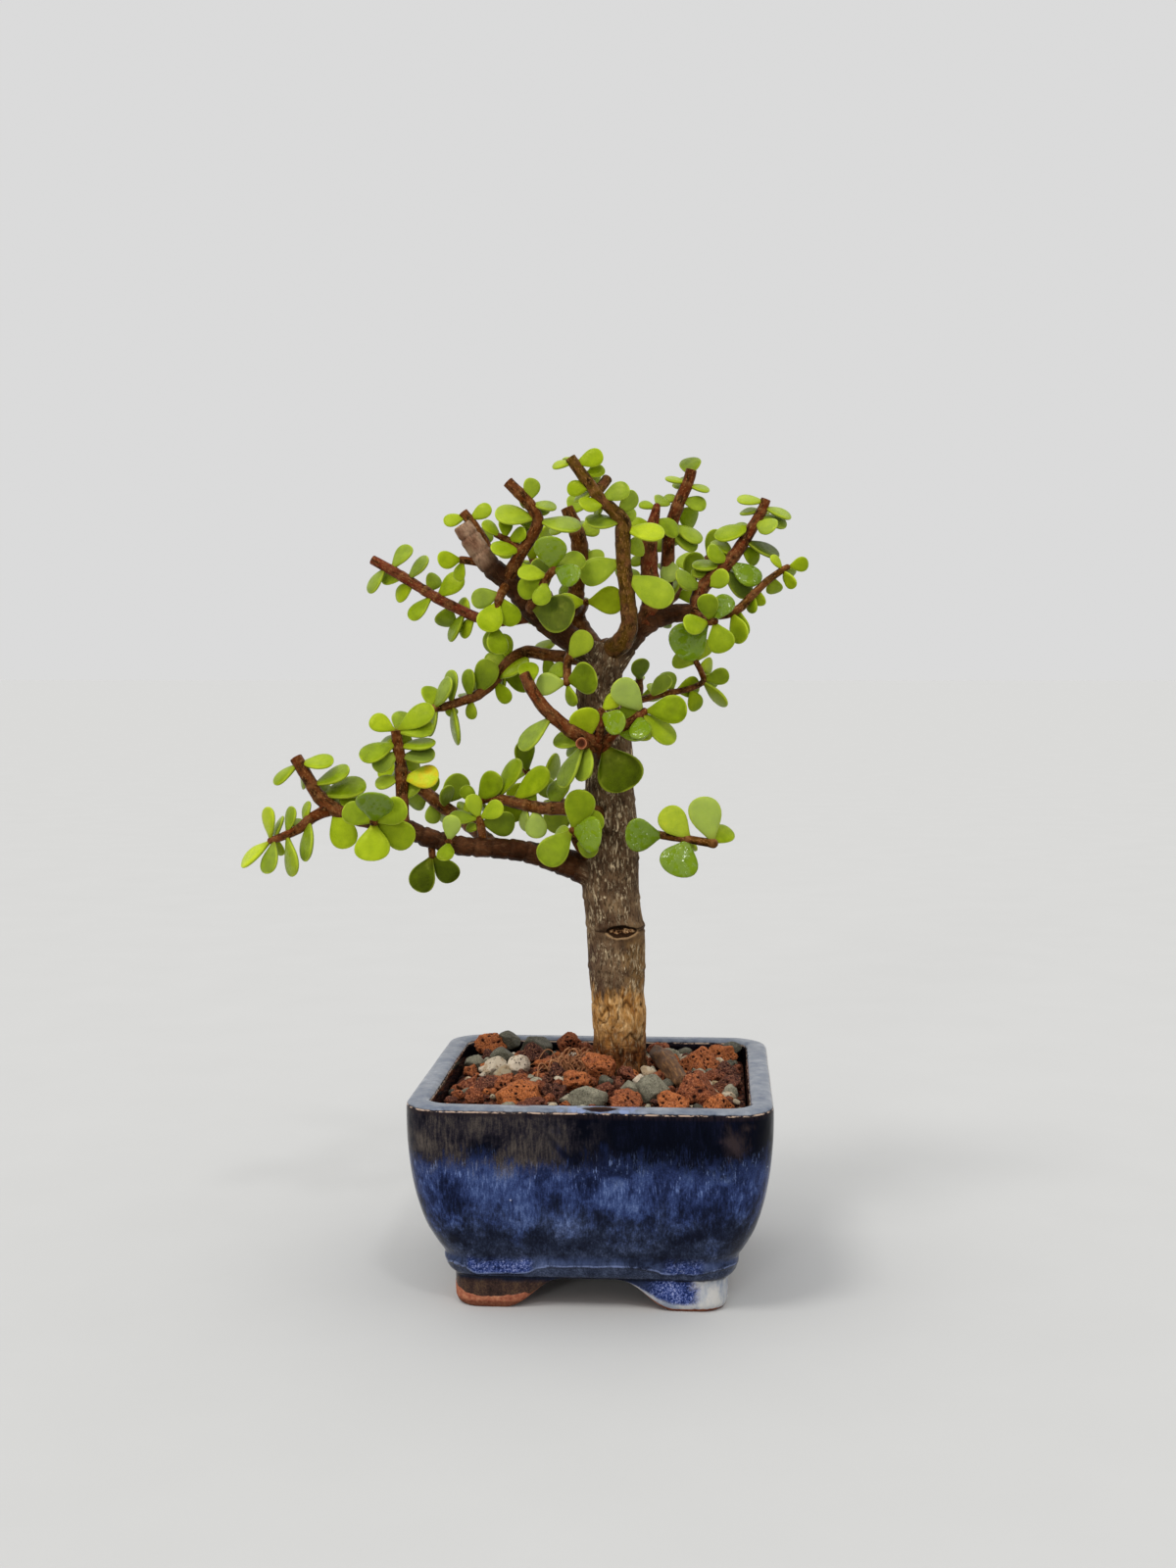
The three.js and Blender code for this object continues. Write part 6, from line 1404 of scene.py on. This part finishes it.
def add_floor():
    s = Shading("floor", Specular_IOR_Level=0.0)
    grain = s.noise(45, detail=3)
    s.fill(s.shader, {"Base Color": s.mix(s.times(grain, 0.04), FLOOR, "ffffff"),
                      "Roughness": s.step(grain, 0.3, 0.7, 0.9, 1.0)})
    mesh = bpy.data.meshes.new("floor")
    corners = [(-1, -1), (1, -1), (1, 1), (-1, 1)]
    mesh.from_pydata([(x * FLOOR_REACH, y * FLOOR_REACH, 0) for x, y in corners], [], [(0, 1, 2, 3)])
    mesh.materials.append(s.material)
    floor = bpy.data.objects.new("floor", mesh)
    bpy.context.scene.collection.objects.link(floor)


def add_camera():
    data = bpy.data.cameras.new("camera")
    data.lens, data.sensor_width, data.sensor_fit = CAMERA_LENS, 36.0, "AUTO"
    data.clip_start, data.clip_end = 0.01, 50
    yaw, pitch = math.radians(CAMERA_YAW), math.radians(CAMERA_PITCH)
    forward = Vector((-math.sin(yaw) * math.cos(pitch), math.cos(yaw) * math.cos(pitch), -math.sin(pitch)))
    right = Vector((math.cos(yaw), math.sin(yaw), 0))
    camera = bpy.data.objects.new("camera", data)
    turn = Matrix((right, right.cross(forward), -forward)).transposed()
    camera.matrix_world = Matrix.Translation(Vector(CAMERA_AT * MM + SHIFT)) @ turn.to_4x4()
    bpy.context.scene.collection.objects.link(camera)
    bpy.context.scene.camera = camera


def add_sun(name, place, spread, power, color=(1, 1, 1)):
    """A soft far light that shines from a place towards the middle of the part."""
    data = bpy.data.lights.new(name, "SUN")
    data.angle, data.energy, data.color = math.radians(spread), power, color
    light = bpy.data.objects.new(name, data)
    light.rotation_euler = (-Vector(place)).to_track_quat("-Z", "Y").to_euler()
    bpy.context.scene.collection.objects.link(light)


def add_lights():
    world = bpy.data.worlds.new("studio")
    world.use_nodes = True
    tree = world.node_tree
    background = tree.nodes["Background"]
    background.inputs["Color"].default_value = linear("fdfdfd")
    ahead = tree.nodes.new("ShaderNodeTexCoord").outputs["Generated"]
    parts = tree.nodes.new("ShaderNodeSeparateXYZ")
    tree.links.new(ahead, parts.inputs[0])
    rise = tree.nodes.new("ShaderNodeMapRange")
    rise.interpolation_type = "SMOOTHSTEP"
    for socket, value in zip(rise.inputs[1:5], (HORIZON_TO, TOP_FROM, HORIZON, TOP)):
        socket.default_value = value
    tree.links.new(parts.outputs[2], rise.inputs[0])
    tree.links.new(rise.outputs[0], background.inputs["Strength"])
    bpy.context.scene.world = world
    bpy.context.scene.view_settings.view_transform = "Standard"
    add_sun("key", (-0.45, -0.55, 1.0), 16, 1.02, (1, 0.985, 0.95))
    add_sun("glint", (-0.3, -1.0, 0.3), 9, 0.42)
    add_sun("spark", (0.3, -0.75, 1.0), 6, 0.4)


# ---------------------------------------------------------------- the whole

add_leaves(leaf_material())
add_stems(stem_material())
add_wood(wood_material())
add_pot(pot_material())
add_bed(grit_material())
add_stones({"lava": lava_material(), "grey": grey_material(), "pale": pale_material()})
add_litter(litter_material())
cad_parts["drainage_mesh"].material_slots[0].material = mesh_material()
add_floor()
add_camera()
add_lights()
